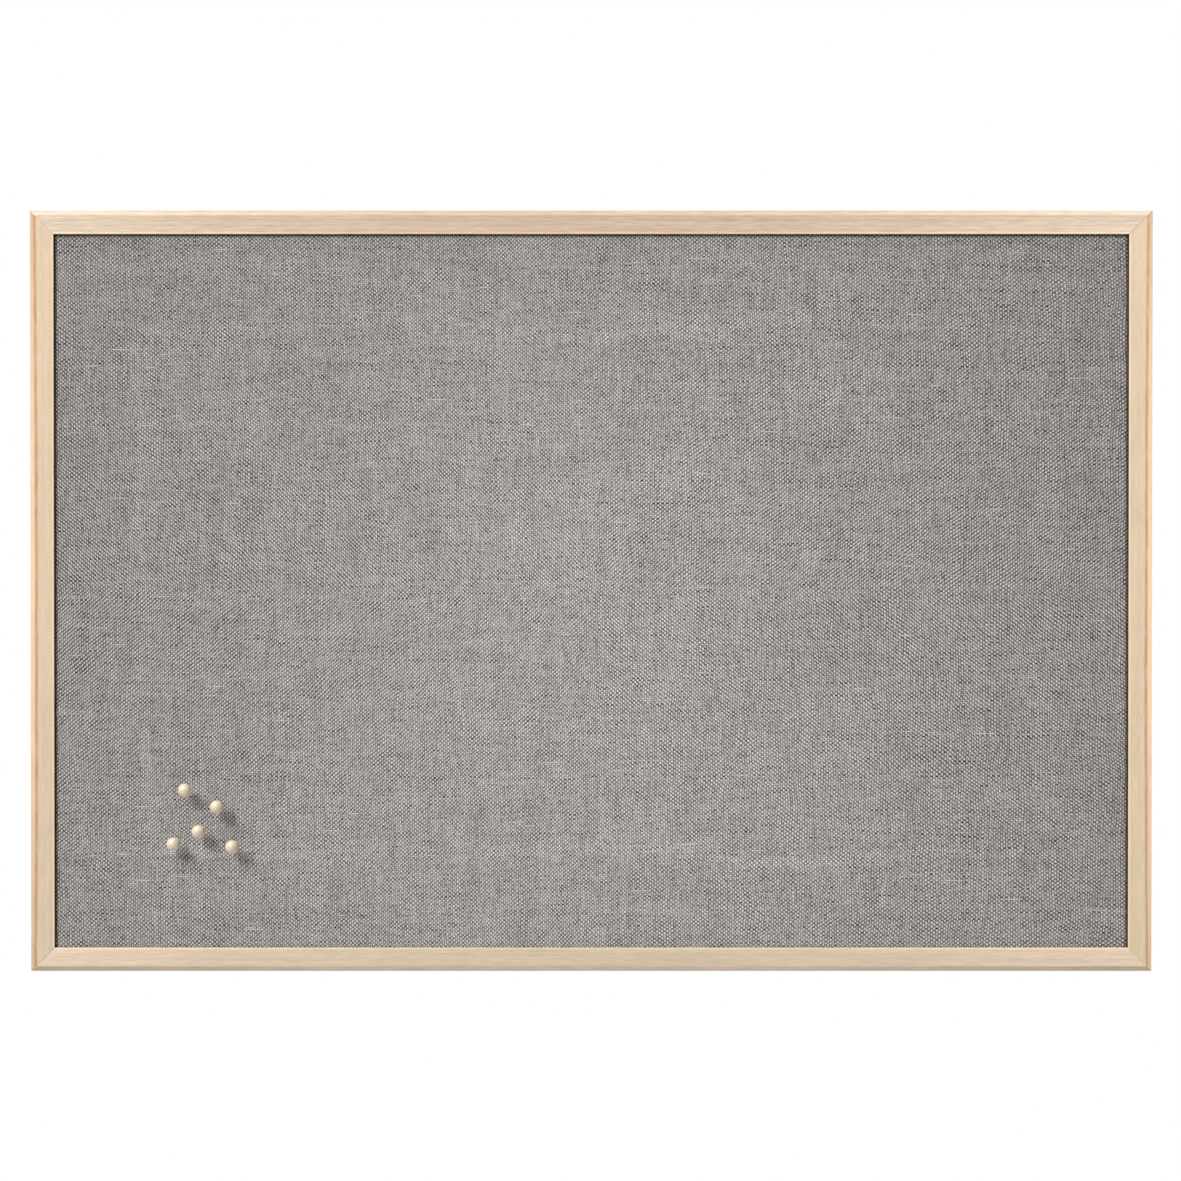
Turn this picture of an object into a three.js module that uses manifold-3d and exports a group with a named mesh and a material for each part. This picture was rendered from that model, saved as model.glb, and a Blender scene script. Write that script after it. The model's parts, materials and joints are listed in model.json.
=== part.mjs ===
// Linen pinboard.
// A mitred pine frame holds a soft board wrapped in grey linen. Five wooden ball pins
// stand in the linen, and two swinging D-rings on the back hang the board on a wall.
//
// Millimetres. The finished board hangs upright: X runs along it, Z is up, the linen
// faces -Y, and the origin is the middle of the board in the plane of the wall.
// Pieces are drawn as if the board lay on its back on a bench: x along, y up the board,
// z from the wall (0) to the front. The last group stands it up.

import * as THREE from 'three';
import { mergeVertices } from 'three/addons/utils/BufferGeometryUtils.js';
import Module from 'manifold-3d';

const wasm = await Module();
wasm.setup();

// Board
const board_width = 600;
const board_height = 407;

// Clearances
const seat_gap = 0.25; // between pieces that rest on each other
const edge_gap = 0.5; // between the panel's edges and the rebate
const small_gap = 0.2; // round nails, tabs, needles and rivets
const mitre_gap = 0.3; // across each mitre joint
const overrun = 1; // how far a cut runs past the material

// Frame moulding
const face_width = 12.6; // from the outside to the sight edge
const lip_width = 4; // how far the lip laps over the panel
const lip_thickness = 2;
const chamfer_width = 2.5; // along the face
const chamfer_depth = 2; // down the outside
const arris_radius = 0.35; // where the chamfer meets the face and the outside
const sight_radius = 0.5; // the eased sight edge
const back_radius = 0.6; // the eased outer back edge
const arc_steps = 4;

// Panel, from the front to the back
const linen_thickness = 0.6;
const core_thickness = 7.5;
const back_thickness = 2.5;
const hem_width = 24; // linen turned over onto the back of the core
const linen_corner_radius = 1.5;

// V-nails, one across each mitre
const nail_leg = 5;
const nail_thickness = 0.5;
const nail_height = 8;
const nail_sink = 0.3; // below the back of the frame
const nail_inset_share = 0.3; // of the back land, from the outside

// Retaining tabs
const tab_width = 6;
const tab_thickness = 0.4;
const tab_reach = 9; // over the back board
const tab_tip_radius = 1.5;
const tab_grip_share = 0.55; // of the back land, driven into the wood
const rail_tab_shares = [-0.66, 0, 0.66]; // places along half a rail
const stile_tab_shares = [-0.5, 0.5]; // places along half a stile

// Ball pins
const head_radius = 3.7;
const head_flat_radius = 1.3; // where the needle goes in
const head_stand = 6.2; // from the linen to the head
const needle_radius = 0.5;
const needle_point = 2.6; // length of the point
const needle_grip_share = 0.6; // of the head's diameter
const needle_bite_share = 0.85; // of the core's thickness
const head_steps = 14;
const head_sides = 28;
const needle_sides = 14;

// Where the middle of each head is seen, as shares of half the opening, and how many
// degrees its needle leans sideways and upwards
const pins = [
  { name: 'pin_1', place_shares: [-0.7561, -0.5563], lean: [1.5, 3] },
  { name: 'pin_2', place_shares: [-0.6966, -0.6034], lean: [-3, 2] },
  { name: 'pin_3', place_shares: [-0.7307, -0.6721], lean: [2.5, 1] },
  { name: 'pin_4', place_shares: [-0.7773, -0.7072], lean: [-2, 19] },
  { name: 'pin_5', place_shares: [-0.668, -0.715], lean: [1, 4] },
];

// Hangers
const hanger_place_share = 0.6; // of half the board's width
const hanger_below_hem = 20; // from the edge of the hem to the ring's bar
const strap_width = 11;
const strap_thickness = 0.6;
const strap_fold_gap = 0.15; // between the strap's two layers
const strap_long = 9.2; // the lower layer, from the ring's bar
const strap_short = 8.6; // the upper layer
const strap_steps = 20; // round the loop
const fold_steps = 8; // from the loop to the upper layer
const loop_turn = 240; // degrees that the strap goes round the bar
const wire_radius = 0.75;
const wire_gap = 0.25; // between the bar and the loop round it
const ring_side_gap = 1.4; // between the strap and the ring's sides
const ring_end_gap = 4.9; // between the strap and the ring's round end, for the hook
const ring_bend = 2; // the bends at the ends of the bar
const ring_butt_gap = 0.3; // where the wire's ends meet, inside the loop
const ring_sides = 10;
const ring_steps = 56;
const rivet_below_bar = 5.9;
const rivet_radius = 1.2;
const rivet_head_radius = 2.3;
const rivet_head_height = 0.9;
const rivet_flare_radius = 2;
const rivet_flare_height = 0.5;
const rivet_crown_share = 0.45; // of the head's height that is straight
const rivet_sides = 24;
const wall_clearance = 0.4; // between the hangers and the wall

// Depths, measured from the wall
const hanger_seat = small_gap; // the strap's clearance on the back board
const loop_radius = wire_radius + wire_gap + strap_thickness; // outside
const bar_height = hanger_seat + loop_radius; // above the back board
const back_recess = bar_height + loop_radius + wall_clearance;
const back_board_rear = back_recess;
const back_board_front = back_board_rear + back_thickness;
const hem_rear = back_board_front + seat_gap;
const hem_front = hem_rear + linen_thickness;
const core_rear = hem_front + seat_gap;
const core_front = core_rear + core_thickness;
const linen_rear = core_front + seat_gap;
const linen_front = linen_rear + linen_thickness;
const lip_rear = linen_front + seat_gap;
const frame_depth = lip_rear + lip_thickness;

// Widths and heights
const opening_width = board_width - 2 * face_width;
const opening_height = board_height - 2 * face_width;
const back_land = face_width - lip_width;
const panel_width = opening_width + 2 * (lip_width - edge_gap);
const panel_height = opening_height + 2 * (lip_width - edge_gap);
const wrap = linen_thickness + seat_gap; // from the linen's outside to the core
const core_width = panel_width - 2 * wrap;
const core_height = panel_height - 2 * wrap;
const tab_rear = back_board_rear - small_gap;

// From a profile's own axes (x outwards, y forwards, z along) to the bench
const along_x = new THREE.Matrix4().makeBasis(
  new THREE.Vector3(0, 1, 0),
  new THREE.Vector3(0, 0, 1),
  new THREE.Vector3(1, 0, 0),
);

// A closed geometry as a solid that can be cut
function solid(geometry) {
  const bare = geometry.clone();
  bare.deleteAttribute('normal');
  bare.deleteAttribute('uv');
  const merged = mergeVertices(bare);
  return new wasm.Manifold(new wasm.Mesh({
    numProp: 3,
    vertProperties: new Float32Array(merged.attributes.position.array),
    triVerts: new Uint32Array(merged.index.array),
  }));
}

// A cut solid as a geometry again
function surface(body) {
  const mesh = body.getMesh();
  const geometry = new THREE.BufferGeometry();
  geometry.setAttribute('position', new THREE.BufferAttribute(mesh.vertProperties, 3));
  geometry.setIndex(new THREE.BufferAttribute(mesh.triVerts, 1));
  geometry.computeVertexNormals();
  return geometry;
}

function cut(geometry, cutters) {
  let body = solid(geometry);
  for (const cutter of cutters) body = body.subtract(solid(cutter));
  return surface(body);
}

function piece(name, geometry, colour, roughness, metalness) {
  const material = new THREE.MeshStandardMaterial({ color: colour, roughness, metalness });
  const mesh = new THREE.Mesh(geometry, material);
  mesh.name = name;
  return mesh;
}

const pine = (name, geometry) => piece(name, geometry, 0xe0c9ac, 0.6, 0);
const steel = (name, geometry) => piece(name, geometry, 0xb4b6b8, 0.35, 1);

// A flat rectangle from one depth to another
function plate(width, height, rear, front) {
  const box = new THREE.BoxGeometry(width, height, front - rear);
  return box.translate(0, 0, (rear + front) / 2);
}

// A flat rectangle with round corners from one depth to another
function roundedPlate(width, height, radius, rear, front) {
  const [x, y] = [width / 2 - radius, height / 2 - radius];
  const outline = new THREE.Shape();
  outline.absarc(x, y, radius, 0, Math.PI / 2);
  outline.absarc(-x, y, radius, Math.PI / 2, Math.PI);
  outline.absarc(-x, -y, radius, Math.PI, 1.5 * Math.PI);
  outline.absarc(x, -y, radius, 1.5 * Math.PI, 2 * Math.PI);
  const settings = { depth: front - rear, bevelEnabled: false, curveSegments: arc_steps };
  return new THREE.ExtrudeGeometry(outline, settings).translate(0, 0, rear);
}

// The V of one nail or its slot: two legs that run along the two outsides of a corner
function nailAngle(clearance, rear, front) {
  const far = nail_leg + clearance;
  const inner = nail_thickness + clearance;
  const outline = new THREE.Shape();
  outline.moveTo(clearance, clearance);
  outline.lineTo(-far, clearance);
  outline.lineTo(-far, -inner);
  outline.lineTo(-inner, -inner);
  outline.lineTo(-inner, -far);
  outline.lineTo(clearance, -far);
  outline.closePath();
  const settings = { depth: front - rear, bevelEnabled: false };
  return new THREE.ExtrudeGeometry(outline, settings).translate(0, 0, rear);
}

// One nail or its slot at the top right corner of a board of the given half sizes
function nailAtCorner(half_length, half_height, clearance, rear, front) {
  const inset = back_land * nail_inset_share;
  return nailAngle(clearance, rear, front)
    .translate(half_length - inset, half_height - inset, 0);
}

// One tab or its slot on the top rail, at a place along it
function tabAtTop(place, half_height, clearance) {
  const root = half_height - back_land * (1 - tab_grip_share) + clearance;
  const tip = half_height - back_land - tab_reach - clearance;
  const half = tab_width / 2 + clearance;
  const outline = new THREE.Shape();
  outline.moveTo(-half, root);
  outline.lineTo(-half, tip + tab_tip_radius);
  outline.absarc(-half + tab_tip_radius, tip + tab_tip_radius, tab_tip_radius,
    Math.PI, 1.5 * Math.PI);
  outline.absarc(half - tab_tip_radius, tip + tab_tip_radius, tab_tip_radius,
    1.5 * Math.PI, 2 * Math.PI);
  outline.lineTo(half, root);
  outline.closePath();
  const settings = {
    depth: tab_thickness + 2 * clearance, bevelEnabled: false, curveSegments: arc_steps,
  };
  return new THREE.ExtrudeGeometry(outline, settings)
    .translate(place, 0, tab_rear - tab_thickness - clearance);
}

// The moulding's section: x outwards from the sight edge, y forwards from the wall
function mouldingSection() {
  const slope = Math.atan2(chamfer_depth, chamfer_width);
  const steep = Math.PI / 2 - slope;
  const outer = new THREE.Vector2(face_width, frame_depth - chamfer_depth);
  const inner = new THREE.Vector2(face_width - chamfer_width, frame_depth);
  const outer_trim = arris_radius * Math.tan(steep / 2);
  const inner_trim = arris_radius * Math.tan(slope / 2);
  const outline = new THREE.Shape();
  outline.moveTo(lip_width, 0);
  outline.lineTo(face_width - back_radius, 0);
  outline.absarc(face_width - back_radius, back_radius, back_radius, 1.5 * Math.PI, 2 * Math.PI);
  outline.absarc(outer.x - arris_radius, outer.y - outer_trim, arris_radius, 0, steep);
  outline.absarc(inner.x - inner_trim, inner.y - arris_radius, arris_radius,
    steep, Math.PI / 2);
  outline.absarc(sight_radius, frame_depth - sight_radius, sight_radius,
    Math.PI / 2, Math.PI);
  outline.lineTo(0, lip_rear);
  outline.lineTo(lip_width, lip_rear);
  outline.closePath();
  return outline;
}

// A length of moulding on the bench's top side, both ends cut to a mitre
function mitredMoulding(opening_length, opening_across) {
  const settings = { depth: opening_length, bevelEnabled: false, curveSegments: arc_steps };
  const geometry = new THREE.ExtrudeGeometry(mouldingSection(), settings);
  const set_back = mitre_gap / Math.SQRT2;
  const points = geometry.attributes.position;
  for (let i = 0; i < points.count; i++) {
    const side = points.getZ(i) > opening_length / 2 ? 1 : -1;
    points.setZ(i, side * (opening_length / 2 + points.getX(i) - set_back));
  }
  return geometry.applyMatrix4(along_x).translate(0, opening_across / 2, 0);
}

// Half the outside length of a side of the board, from the opening's
const outsideHalf = (opening) => opening / 2 + face_width;

// A finished rail on the top side, with its slots for the nails and tabs
function rail(opening_length, opening_across, tab_shares) {
  const half_length = outsideHalf(opening_length);
  const half_height = outsideHalf(opening_across);
  const nail_front = nail_sink + nail_height + small_gap;
  const nail_slot = nailAtCorner(half_length, half_height, small_gap, -overrun, nail_front);
  const cutters = [
    nail_slot,
    mirrored(nail_slot),
    ...tab_shares.map((share) => tabAtTop(share * half_length, half_height, small_gap)),
  ];
  return cut(mitredMoulding(opening_length, opening_across), cutters);
}

// The same shape on the other end, with its faces turned the right way out again
function mirrored(geometry) {
  const other = mergeVertices(geometry.clone()).scale(-1, 1, 1);
  const order = other.index.array;
  for (let i = 0; i < order.length; i += 3) {
    [order[i], order[i + 1]] = [order[i + 1], order[i]];
  }
  return other;
}

// One side of the frame: the rail, its tabs and the nail at its right-hand end, drawn
// at the top of the bench and then turned to its side of the board
function frameSide(side) {
  const half_length = outsideHalf(side.opening_length);
  const half_height = outsideHalf(side.opening_across);
  const group = new THREE.Group();
  group.rotation.z = THREE.MathUtils.degToRad(-side.turn);
  group.add(pine(side.name, rail(side.opening_length, side.opening_across, side.tab_shares)));
  group.add(steel(`v_nail_${side.corner}`, surface(solid(
    nailAtCorner(half_length, half_height, 0, nail_sink, nail_sink + nail_height)))));
  side.tab_shares.forEach((share, i) => {
    const tab = surface(solid(tabAtTop(share * half_length, half_height, 0)));
    group.add(steel(`retaining_tab_${side.tabs}_${i + 1}`, tab));
  });
  return group;
}

function frame() {
  const level = {
    opening_length: opening_width, opening_across: opening_height,
    tab_shares: rail_tab_shares,
  };
  const upright = {
    opening_length: opening_height, opening_across: opening_width,
    tab_shares: stile_tab_shares,
  };
  const sides = [
    { ...level, name: 'top_rail', tabs: 'top', corner: 'top_right', turn: 0 },
    { ...upright, name: 'right_stile', tabs: 'right', corner: 'bottom_right', turn: 90 },
    { ...level, name: 'bottom_rail', tabs: 'bottom', corner: 'bottom_left', turn: 180 },
    { ...upright, name: 'left_stile', tabs: 'left', corner: 'top_left', turn: 270 },
  ];
  const group = new THREE.Group();
  for (const side of sides) group.add(frameSide(side));
  return group;
}

// The needle's direction for a pin's lean, as a turn of the pin's own z axis
function leanOf(pin) {
  const [sideways, upwards] = pin.lean.map(THREE.MathUtils.degToRad);
  return new THREE.Euler(-upwards, sideways, 0);
}

// Where the needle goes through the face of the linen, with the head where it is seen
function entryOf(pin) {
  const [x_share, y_share] = pin.place_shares;
  const head = new THREE.Vector3(0, 0, head_stand + head_radius).applyEuler(leanOf(pin));
  return new THREE.Vector3(
    x_share * opening_width / 2 - head.x, y_share * opening_height / 2 - head.y, linen_front);
}

// The hole that a needle leaves in the linen and the core
function needleHole(pin) {
  const [front, rear] = [overrun, -core_thickness * needle_bite_share - wrap - small_gap];
  const hole = new THREE.CylinderGeometry(
    needle_radius + small_gap, needle_radius + small_gap, front - rear, needle_sides);
  hole.rotateX(Math.PI / 2).translate(0, 0, (front + rear) / 2);
  const turn = new THREE.Matrix4().makeRotationFromEuler(leanOf(pin));
  const entry = entryOf(pin);
  return hole.applyMatrix4(turn).translate(entry.x, entry.y, entry.z);
}

// A turned ball with a small flat, drilled for the needle; z runs out of the board
function pinHead() {
  const flat_height = -Math.sqrt(head_radius ** 2 - head_flat_radius ** 2);
  const drilled = flat_height + 2 * head_radius * needle_grip_share + small_gap;
  const hole_radius = needle_radius + small_gap;
  const profile = [
    new THREE.Vector2(0, drilled),
    new THREE.Vector2(hole_radius, drilled),
    new THREE.Vector2(hole_radius, flat_height),
  ];
  const start = Math.asin(flat_height / head_radius);
  for (let i = 0; i < head_steps; i++) {
    const angle = start + (Math.PI / 2 - start) * i / head_steps;
    profile.push(new THREE.Vector2(
      head_radius * Math.cos(angle), head_radius * Math.sin(angle)));
  }
  profile.push(new THREE.Vector2(0, head_radius));
  const ball = new THREE.LatheGeometry(profile, head_sides);
  return surface(solid(ball.rotateX(Math.PI / 2).translate(0, 0, head_stand + head_radius)));
}

function pinNeedle() {
  const tip = -core_thickness * needle_bite_share - wrap;
  const top = head_stand + 2 * head_radius * needle_grip_share;
  const profile = [
    new THREE.Vector2(0, tip),
    new THREE.Vector2(needle_radius, tip + needle_point),
    new THREE.Vector2(needle_radius, top),
    new THREE.Vector2(0, top),
  ];
  return surface(solid(new THREE.LatheGeometry(profile, needle_sides).rotateX(Math.PI / 2)));
}

function ballPin(pin) {
  const group = new THREE.Group();
  group.position.copy(entryOf(pin));
  group.rotation.copy(leanOf(pin));
  group.add(piece(`${pin.name}_head`, pinHead(), 0xf6e6c2, 0.5, 0));
  group.add(steel(`${pin.name}_needle`, pinNeedle()));
  return group;
}

// Linen over the front and the edges of the core, and turned over onto its back
function linenCover() {
  const whole = roundedPlate(
    panel_width, panel_height, linen_corner_radius, hem_rear, linen_front);
  const room = plate(
    panel_width - 2 * linen_thickness, panel_height - 2 * linen_thickness,
    hem_front, linen_rear);
  const window = plate(
    panel_width - 2 * hem_width, panel_height - 2 * hem_width,
    hem_rear - overrun, hem_front + overrun);
  return piece('linen_cover', cut(whole, [room, window, ...pins.map(needleHole)]),
    0xa6a19e, 0.95, 0);
}

function coreBoard() {
  const slab = plate(core_width, core_height, core_rear, core_front);
  return piece('core_board', cut(slab, pins.map(needleHole)), 0xb59a6c, 0.95, 0);
}

// The middle of a hanger's ring bar on the bench
function hangerPlace(side) {
  return new THREE.Vector2(
    side * board_width / 2 * hanger_place_share,
    panel_height / 2 - hem_width - hanger_below_hem);
}

const hangers = [
  { name: 'left_hanger', side: -1 },
  { name: 'right_hanger', side: 1 },
];

function backBoard() {
  const slab = plate(panel_width, panel_height, back_board_rear, back_board_front);
  const holes = hangers.map((hanger) => {
    const place = hangerPlace(hanger.side);
    const length = back_thickness + 2 * overrun;
    return new THREE.CylinderGeometry(
      rivet_radius + small_gap, rivet_radius + small_gap, length, rivet_sides)
      .rotateX(Math.PI / 2)
      .translate(place.x, place.y - rivet_below_bar, (back_board_rear + back_board_front) / 2);
  });
  return piece('back_board', cut(slab, holes), 0x8a6a4a, 0.8, 0);
}

// A strip of even thickness along a line, as a closed outline
function strip(line, thickness) {
  const sides = [[], []];
  line.forEach((point, i) => {
    const before = line[Math.max(i - 1, 0)];
    const after = line[Math.min(i + 1, line.length - 1)];
    const run = new THREE.Vector2().subVectors(after, before).normalize();
    const across = new THREE.Vector2(-run.y, run.x).multiplyScalar(thickness / 2);
    sides[0].push(point.clone().sub(across));
    sides[1].unshift(point.clone().add(across));
  });
  return new THREE.Shape([...sides[0], ...sides[1]]);
}

// The strap of a hanger, folded round the ring's bar. In a hanger's own axes x is along
// the bar, y up the board and z away from the back board, with the bar at x = 0, y = 0.
function hangerStrap() {
  const middle_radius = loop_radius - strap_thickness / 2;
  const lower = hanger_seat + strap_thickness / 2;
  const upper = lower + strap_thickness + strap_fold_gap;
  const line = [new THREE.Vector2(-strap_long, lower)];
  for (let i = 0; i <= strap_steps; i++) {
    const angle = THREE.MathUtils.degToRad(loop_turn * i / strap_steps - 90);
    line.push(new THREE.Vector2(
      middle_radius * Math.cos(angle), bar_height + middle_radius * Math.sin(angle)));
  }
  const from = line[line.length - 1];
  const heading = THREE.MathUtils.degToRad(loop_turn);
  const run = (upper - from.y) / Math.sin(heading);
  const corner = new THREE.Vector2(from.x + run * Math.cos(heading), upper);
  const flat = new THREE.Vector2(corner.x - run, upper);
  const fold = new THREE.QuadraticBezierCurve(from, corner, flat).getPoints(fold_steps);
  line.push(...fold.slice(1), new THREE.Vector2(-strap_short, upper));
  const settings = { depth: strap_width, bevelEnabled: false };
  const body = new THREE.ExtrudeGeometry(strip(line, strap_thickness), settings)
    .translate(0, 0, -strap_width / 2).applyMatrix4(along_x);
  const hole = new THREE.CylinderGeometry(
    rivet_radius + small_gap, rivet_radius + small_gap, 2 * bar_height + 2 * overrun,
    rivet_sides).rotateX(Math.PI / 2).translate(0, -rivet_below_bar, bar_height);
  return cut(body, [hole]);
}

// A flat path as a line in space, at one height above the back board
class FlatWire extends THREE.Curve {
  constructor(path, height) {
    super();
    this.path = path;
    this.height = height;
  }

  getPoint(share, target = new THREE.Vector3()) {
    const point = this.path.getPoint(share);
    return target.set(point.x, point.y, this.height);
  }
}

// The D-ring, hanging down round its strap: one wire from the middle of the bar, down
// one side, round the end and back up to the middle
function hangerRing() {
  const half_width = strap_width / 2 + ring_side_gap + wire_radius;
  const shoulder = strap_long + ring_end_gap + wire_radius - half_width;
  const path = new THREE.Path();
  path.moveTo(ring_butt_gap / 2, 0);
  path.lineTo(half_width - ring_bend, 0);
  path.absarc(half_width - ring_bend, -ring_bend, ring_bend, Math.PI / 2, 0, true);
  path.absarc(0, -shoulder, half_width, 0, -Math.PI, true);
  path.absarc(ring_bend - half_width, -ring_bend, ring_bend, Math.PI, Math.PI / 2, true);
  path.lineTo(-ring_butt_gap / 2, 0);
  const wire = new THREE.Shape();
  wire.absarc(0, 0, wire_radius, 0, 2 * Math.PI);
  const settings = {
    steps: ring_steps, curveSegments: ring_sides / 2, bevelEnabled: false,
    extrudePath: new FlatWire(path, bar_height),
  };
  return surface(solid(new THREE.ExtrudeGeometry(wire, settings)));
}

// The rivet: a flare inside the back board, the shank, and a crowned head on the strap
function hangerRivet() {
  const flare_top = -back_thickness - small_gap / 2;
  const head_bottom = hanger_seat + 2 * strap_thickness + strap_fold_gap + small_gap / 2;
  const shoulder = head_bottom + rivet_head_height * rivet_crown_share;
  const top = head_bottom + rivet_head_height;
  const profile = [
    new THREE.Vector2(0, flare_top - rivet_flare_height),
    new THREE.Vector2(rivet_flare_radius, flare_top - rivet_flare_height),
    new THREE.Vector2(rivet_flare_radius, flare_top),
    new THREE.Vector2(rivet_radius, flare_top),
    new THREE.Vector2(rivet_radius, head_bottom),
    new THREE.Vector2(rivet_head_radius, head_bottom),
  ];
  for (let i = 0; i < arc_steps; i++) {
    const angle = Math.PI / 2 * i / arc_steps;
    profile.push(new THREE.Vector2(
      rivet_head_radius * Math.cos(angle),
      shoulder + (top - shoulder) * Math.sin(angle)));
  }
  profile.push(new THREE.Vector2(0, top));
  return surface(solid(new THREE.LatheGeometry(profile, rivet_sides)
    .rotateX(Math.PI / 2).translate(0, -rivet_below_bar, 0)));
}

function hanger(place) {
  const at = hangerPlace(place.side);
  const group = new THREE.Group();
  group.position.set(at.x, at.y, back_board_rear);
  group.rotation.y = Math.PI;
  group.add(steel(`${place.name}_strap`, hangerStrap()));
  group.add(steel(`${place.name}_ring`, hangerRing()));
  group.add(steel(`${place.name}_rivet`, hangerRivet()));
  return group;
}

const pinboard = new THREE.Group();
pinboard.rotation.x = Math.PI / 2;
pinboard.add(frame(), linenCover(), coreBoard(), backBoard());
for (const place of hangers) pinboard.add(hanger(place));
for (const pin of pins) pinboard.add(ballPin(pin));

export default pinboard;
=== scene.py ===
"""Finishes a linen pinboard: a pine frame, linen stretched over a soft board, ball pins
that pull out, and swinging hangers on the back.

The file is laid out as an add-on with settings, an operator for each group of pieces and
a panel. Run as a script, it calls the operators in order. Lengths are in metres, and the
board stands upright: X runs along it, Z is up and the linen faces -Y.
"""

import json
import math

import bmesh
import bpy
import numpy as np
from mathutils import Matrix, Vector, noise

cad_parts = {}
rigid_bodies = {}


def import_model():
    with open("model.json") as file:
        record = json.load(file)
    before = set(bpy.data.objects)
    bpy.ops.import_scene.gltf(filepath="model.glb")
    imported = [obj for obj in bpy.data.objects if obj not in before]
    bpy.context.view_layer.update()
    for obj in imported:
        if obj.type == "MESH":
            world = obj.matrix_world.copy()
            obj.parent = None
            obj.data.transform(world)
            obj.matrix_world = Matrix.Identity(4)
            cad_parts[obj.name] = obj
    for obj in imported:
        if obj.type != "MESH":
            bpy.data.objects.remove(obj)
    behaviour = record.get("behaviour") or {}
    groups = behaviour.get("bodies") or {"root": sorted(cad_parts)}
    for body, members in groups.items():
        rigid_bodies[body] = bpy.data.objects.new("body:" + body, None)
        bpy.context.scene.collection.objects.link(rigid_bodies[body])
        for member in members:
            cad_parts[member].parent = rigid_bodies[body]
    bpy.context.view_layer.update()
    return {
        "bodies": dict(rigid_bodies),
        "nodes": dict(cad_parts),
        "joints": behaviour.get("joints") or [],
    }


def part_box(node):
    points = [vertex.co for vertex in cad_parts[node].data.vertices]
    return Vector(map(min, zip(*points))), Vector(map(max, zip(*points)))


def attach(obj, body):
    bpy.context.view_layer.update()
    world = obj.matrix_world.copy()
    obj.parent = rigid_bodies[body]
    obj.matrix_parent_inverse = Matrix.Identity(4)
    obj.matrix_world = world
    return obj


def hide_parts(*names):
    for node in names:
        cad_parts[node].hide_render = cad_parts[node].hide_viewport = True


bl_info = {
    "name": "Linen Pinboard",
    "version": (1, 0, 0),
    "blender": (4, 5, 0),
    "location": "3D View > Sidebar > Pinboard",
    "description": "Makes and finishes the pieces of a linen pinboard",
    "category": "Object",
}

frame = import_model()

MM = 0.001
WEAVE_MAP = "weave"
TONE = "tone"
THICKNESS = "thickness"
WATTS_FOR_WHITE = math.pi ** 2  # of a lamp 1 m away, to light a white face to 1

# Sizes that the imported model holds
linen_low, linen_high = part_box("linen_cover")
sight_half_width = -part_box("left_stile")[1].x
sight_half_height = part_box("top_rail")[0].z
board_half_width = -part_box("left_stile")[0].x
board_half_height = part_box("top_rail")[1].z
pin_names = sorted(body for body in frame["bodies"] if body.startswith("pin_"))
hanger_sides = ("left", "right")


class StageSettings(bpy.types.PropertyGroup):
    """The camera, the lights and the floor"""

    camera_distance: bpy.props.FloatProperty(
        name="Camera distance", description="From the camera to the face of the frame",
        default=5, unit="LENGTH")
    camera_elevation: bpy.props.FloatProperty(
        name="Camera elevation", description="How far the camera looks down on the board",
        default=math.radians(1.84), subtype="ANGLE")
    camera_lens: bpy.props.FloatProperty(
        name="Lens", description="Focal length on a sensor 36 mm wide", default=285)
    ambient: bpy.props.FloatProperty(
        name="Ambient", description="Even light from all round, where 1 is white",
        default=0.15, subtype="FACTOR")
    floor_drop: bpy.props.FloatProperty(
        name="Floor drop", description="From the bottom of the board to the floor",
        default=0.3, unit="LENGTH")
    floor_colour: bpy.props.FloatVectorProperty(
        name="Floor colour", description="Colour of the floor", subtype="COLOR",
        default=(0.84, 0.83, 0.82))


class WoodSettings(bpy.types.PropertyGroup):
    """The pine of the frame"""

    early_colour: bpy.props.FloatVectorProperty(
        name="Earlywood", description="Colour of the pale part of a ring", subtype="COLOR",
        default=(0.675, 0.527, 0.373))
    late_colour: bpy.props.FloatVectorProperty(
        name="Latewood", description="Colour of the dark line that ends a ring",
        subtype="COLOR", default=(0.508, 0.293, 0.147))
    fibre: bpy.props.FloatProperty(
        name="Fibre", description="Contrast of the fine fibres", default=0.25,
        subtype="FACTOR")


class LinenSettings(bpy.types.PropertyGroup):
    """The linen and its weave"""

    warp_pitch: bpy.props.FloatProperty(
        name="Warp pitch", description="From one upright thread to the next, in the middle",
        default=1.143 * MM, unit="LENGTH")
    weft_pitch: bpy.props.FloatProperty(
        name="Weft pitch", description="From one level thread to the next",
        default=1.048 * MM, unit="LENGTH")
    warp_colour: bpy.props.FloatVectorProperty(
        name="Warp colour", description="Colour of the upright threads", subtype="COLOR",
        default=(0.97, 0.925, 0.887))
    weft_colour: bpy.props.FloatVectorProperty(
        name="Weft colour", description="Colour of the level threads", subtype="COLOR",
        default=(0.288, 0.275, 0.263))
    thickness: bpy.props.FloatProperty(
        name="Thickness", description="Thickness of the cloth", default=0.6 * MM,
        unit="LENGTH")
    hem_width: bpy.props.FloatProperty(
        name="Hem width", description="Cloth turned over onto the back of the core",
        default=24 * MM, unit="LENGTH")
    crown: bpy.props.FloatProperty(
        name="Crown", description="How far the cloth stands out in the middle",
        default=0.3 * MM, unit="LENGTH")
    ripple: bpy.props.FloatProperty(
        name="Ripple", description="Height of the slow unevenness of the cloth",
        default=0.09 * MM, unit="LENGTH")
    grid: bpy.props.FloatProperty(
        name="Grid", description="Size of the faces away from the pins", default=4 * MM,
        unit="LENGTH")
    fine_grid: bpy.props.FloatProperty(
        name="Fine grid", description="Size of the faces near the pins",
        default=1.3 * MM, unit="LENGTH")
    slub_count: bpy.props.IntProperty(
        name="Slubs", description="Thick stretches of thread, each way", default=260)
    fuzz_density: bpy.props.FloatProperty(
        name="Fuzz", description="Loose fibres on a square metre", default=5500)


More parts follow.
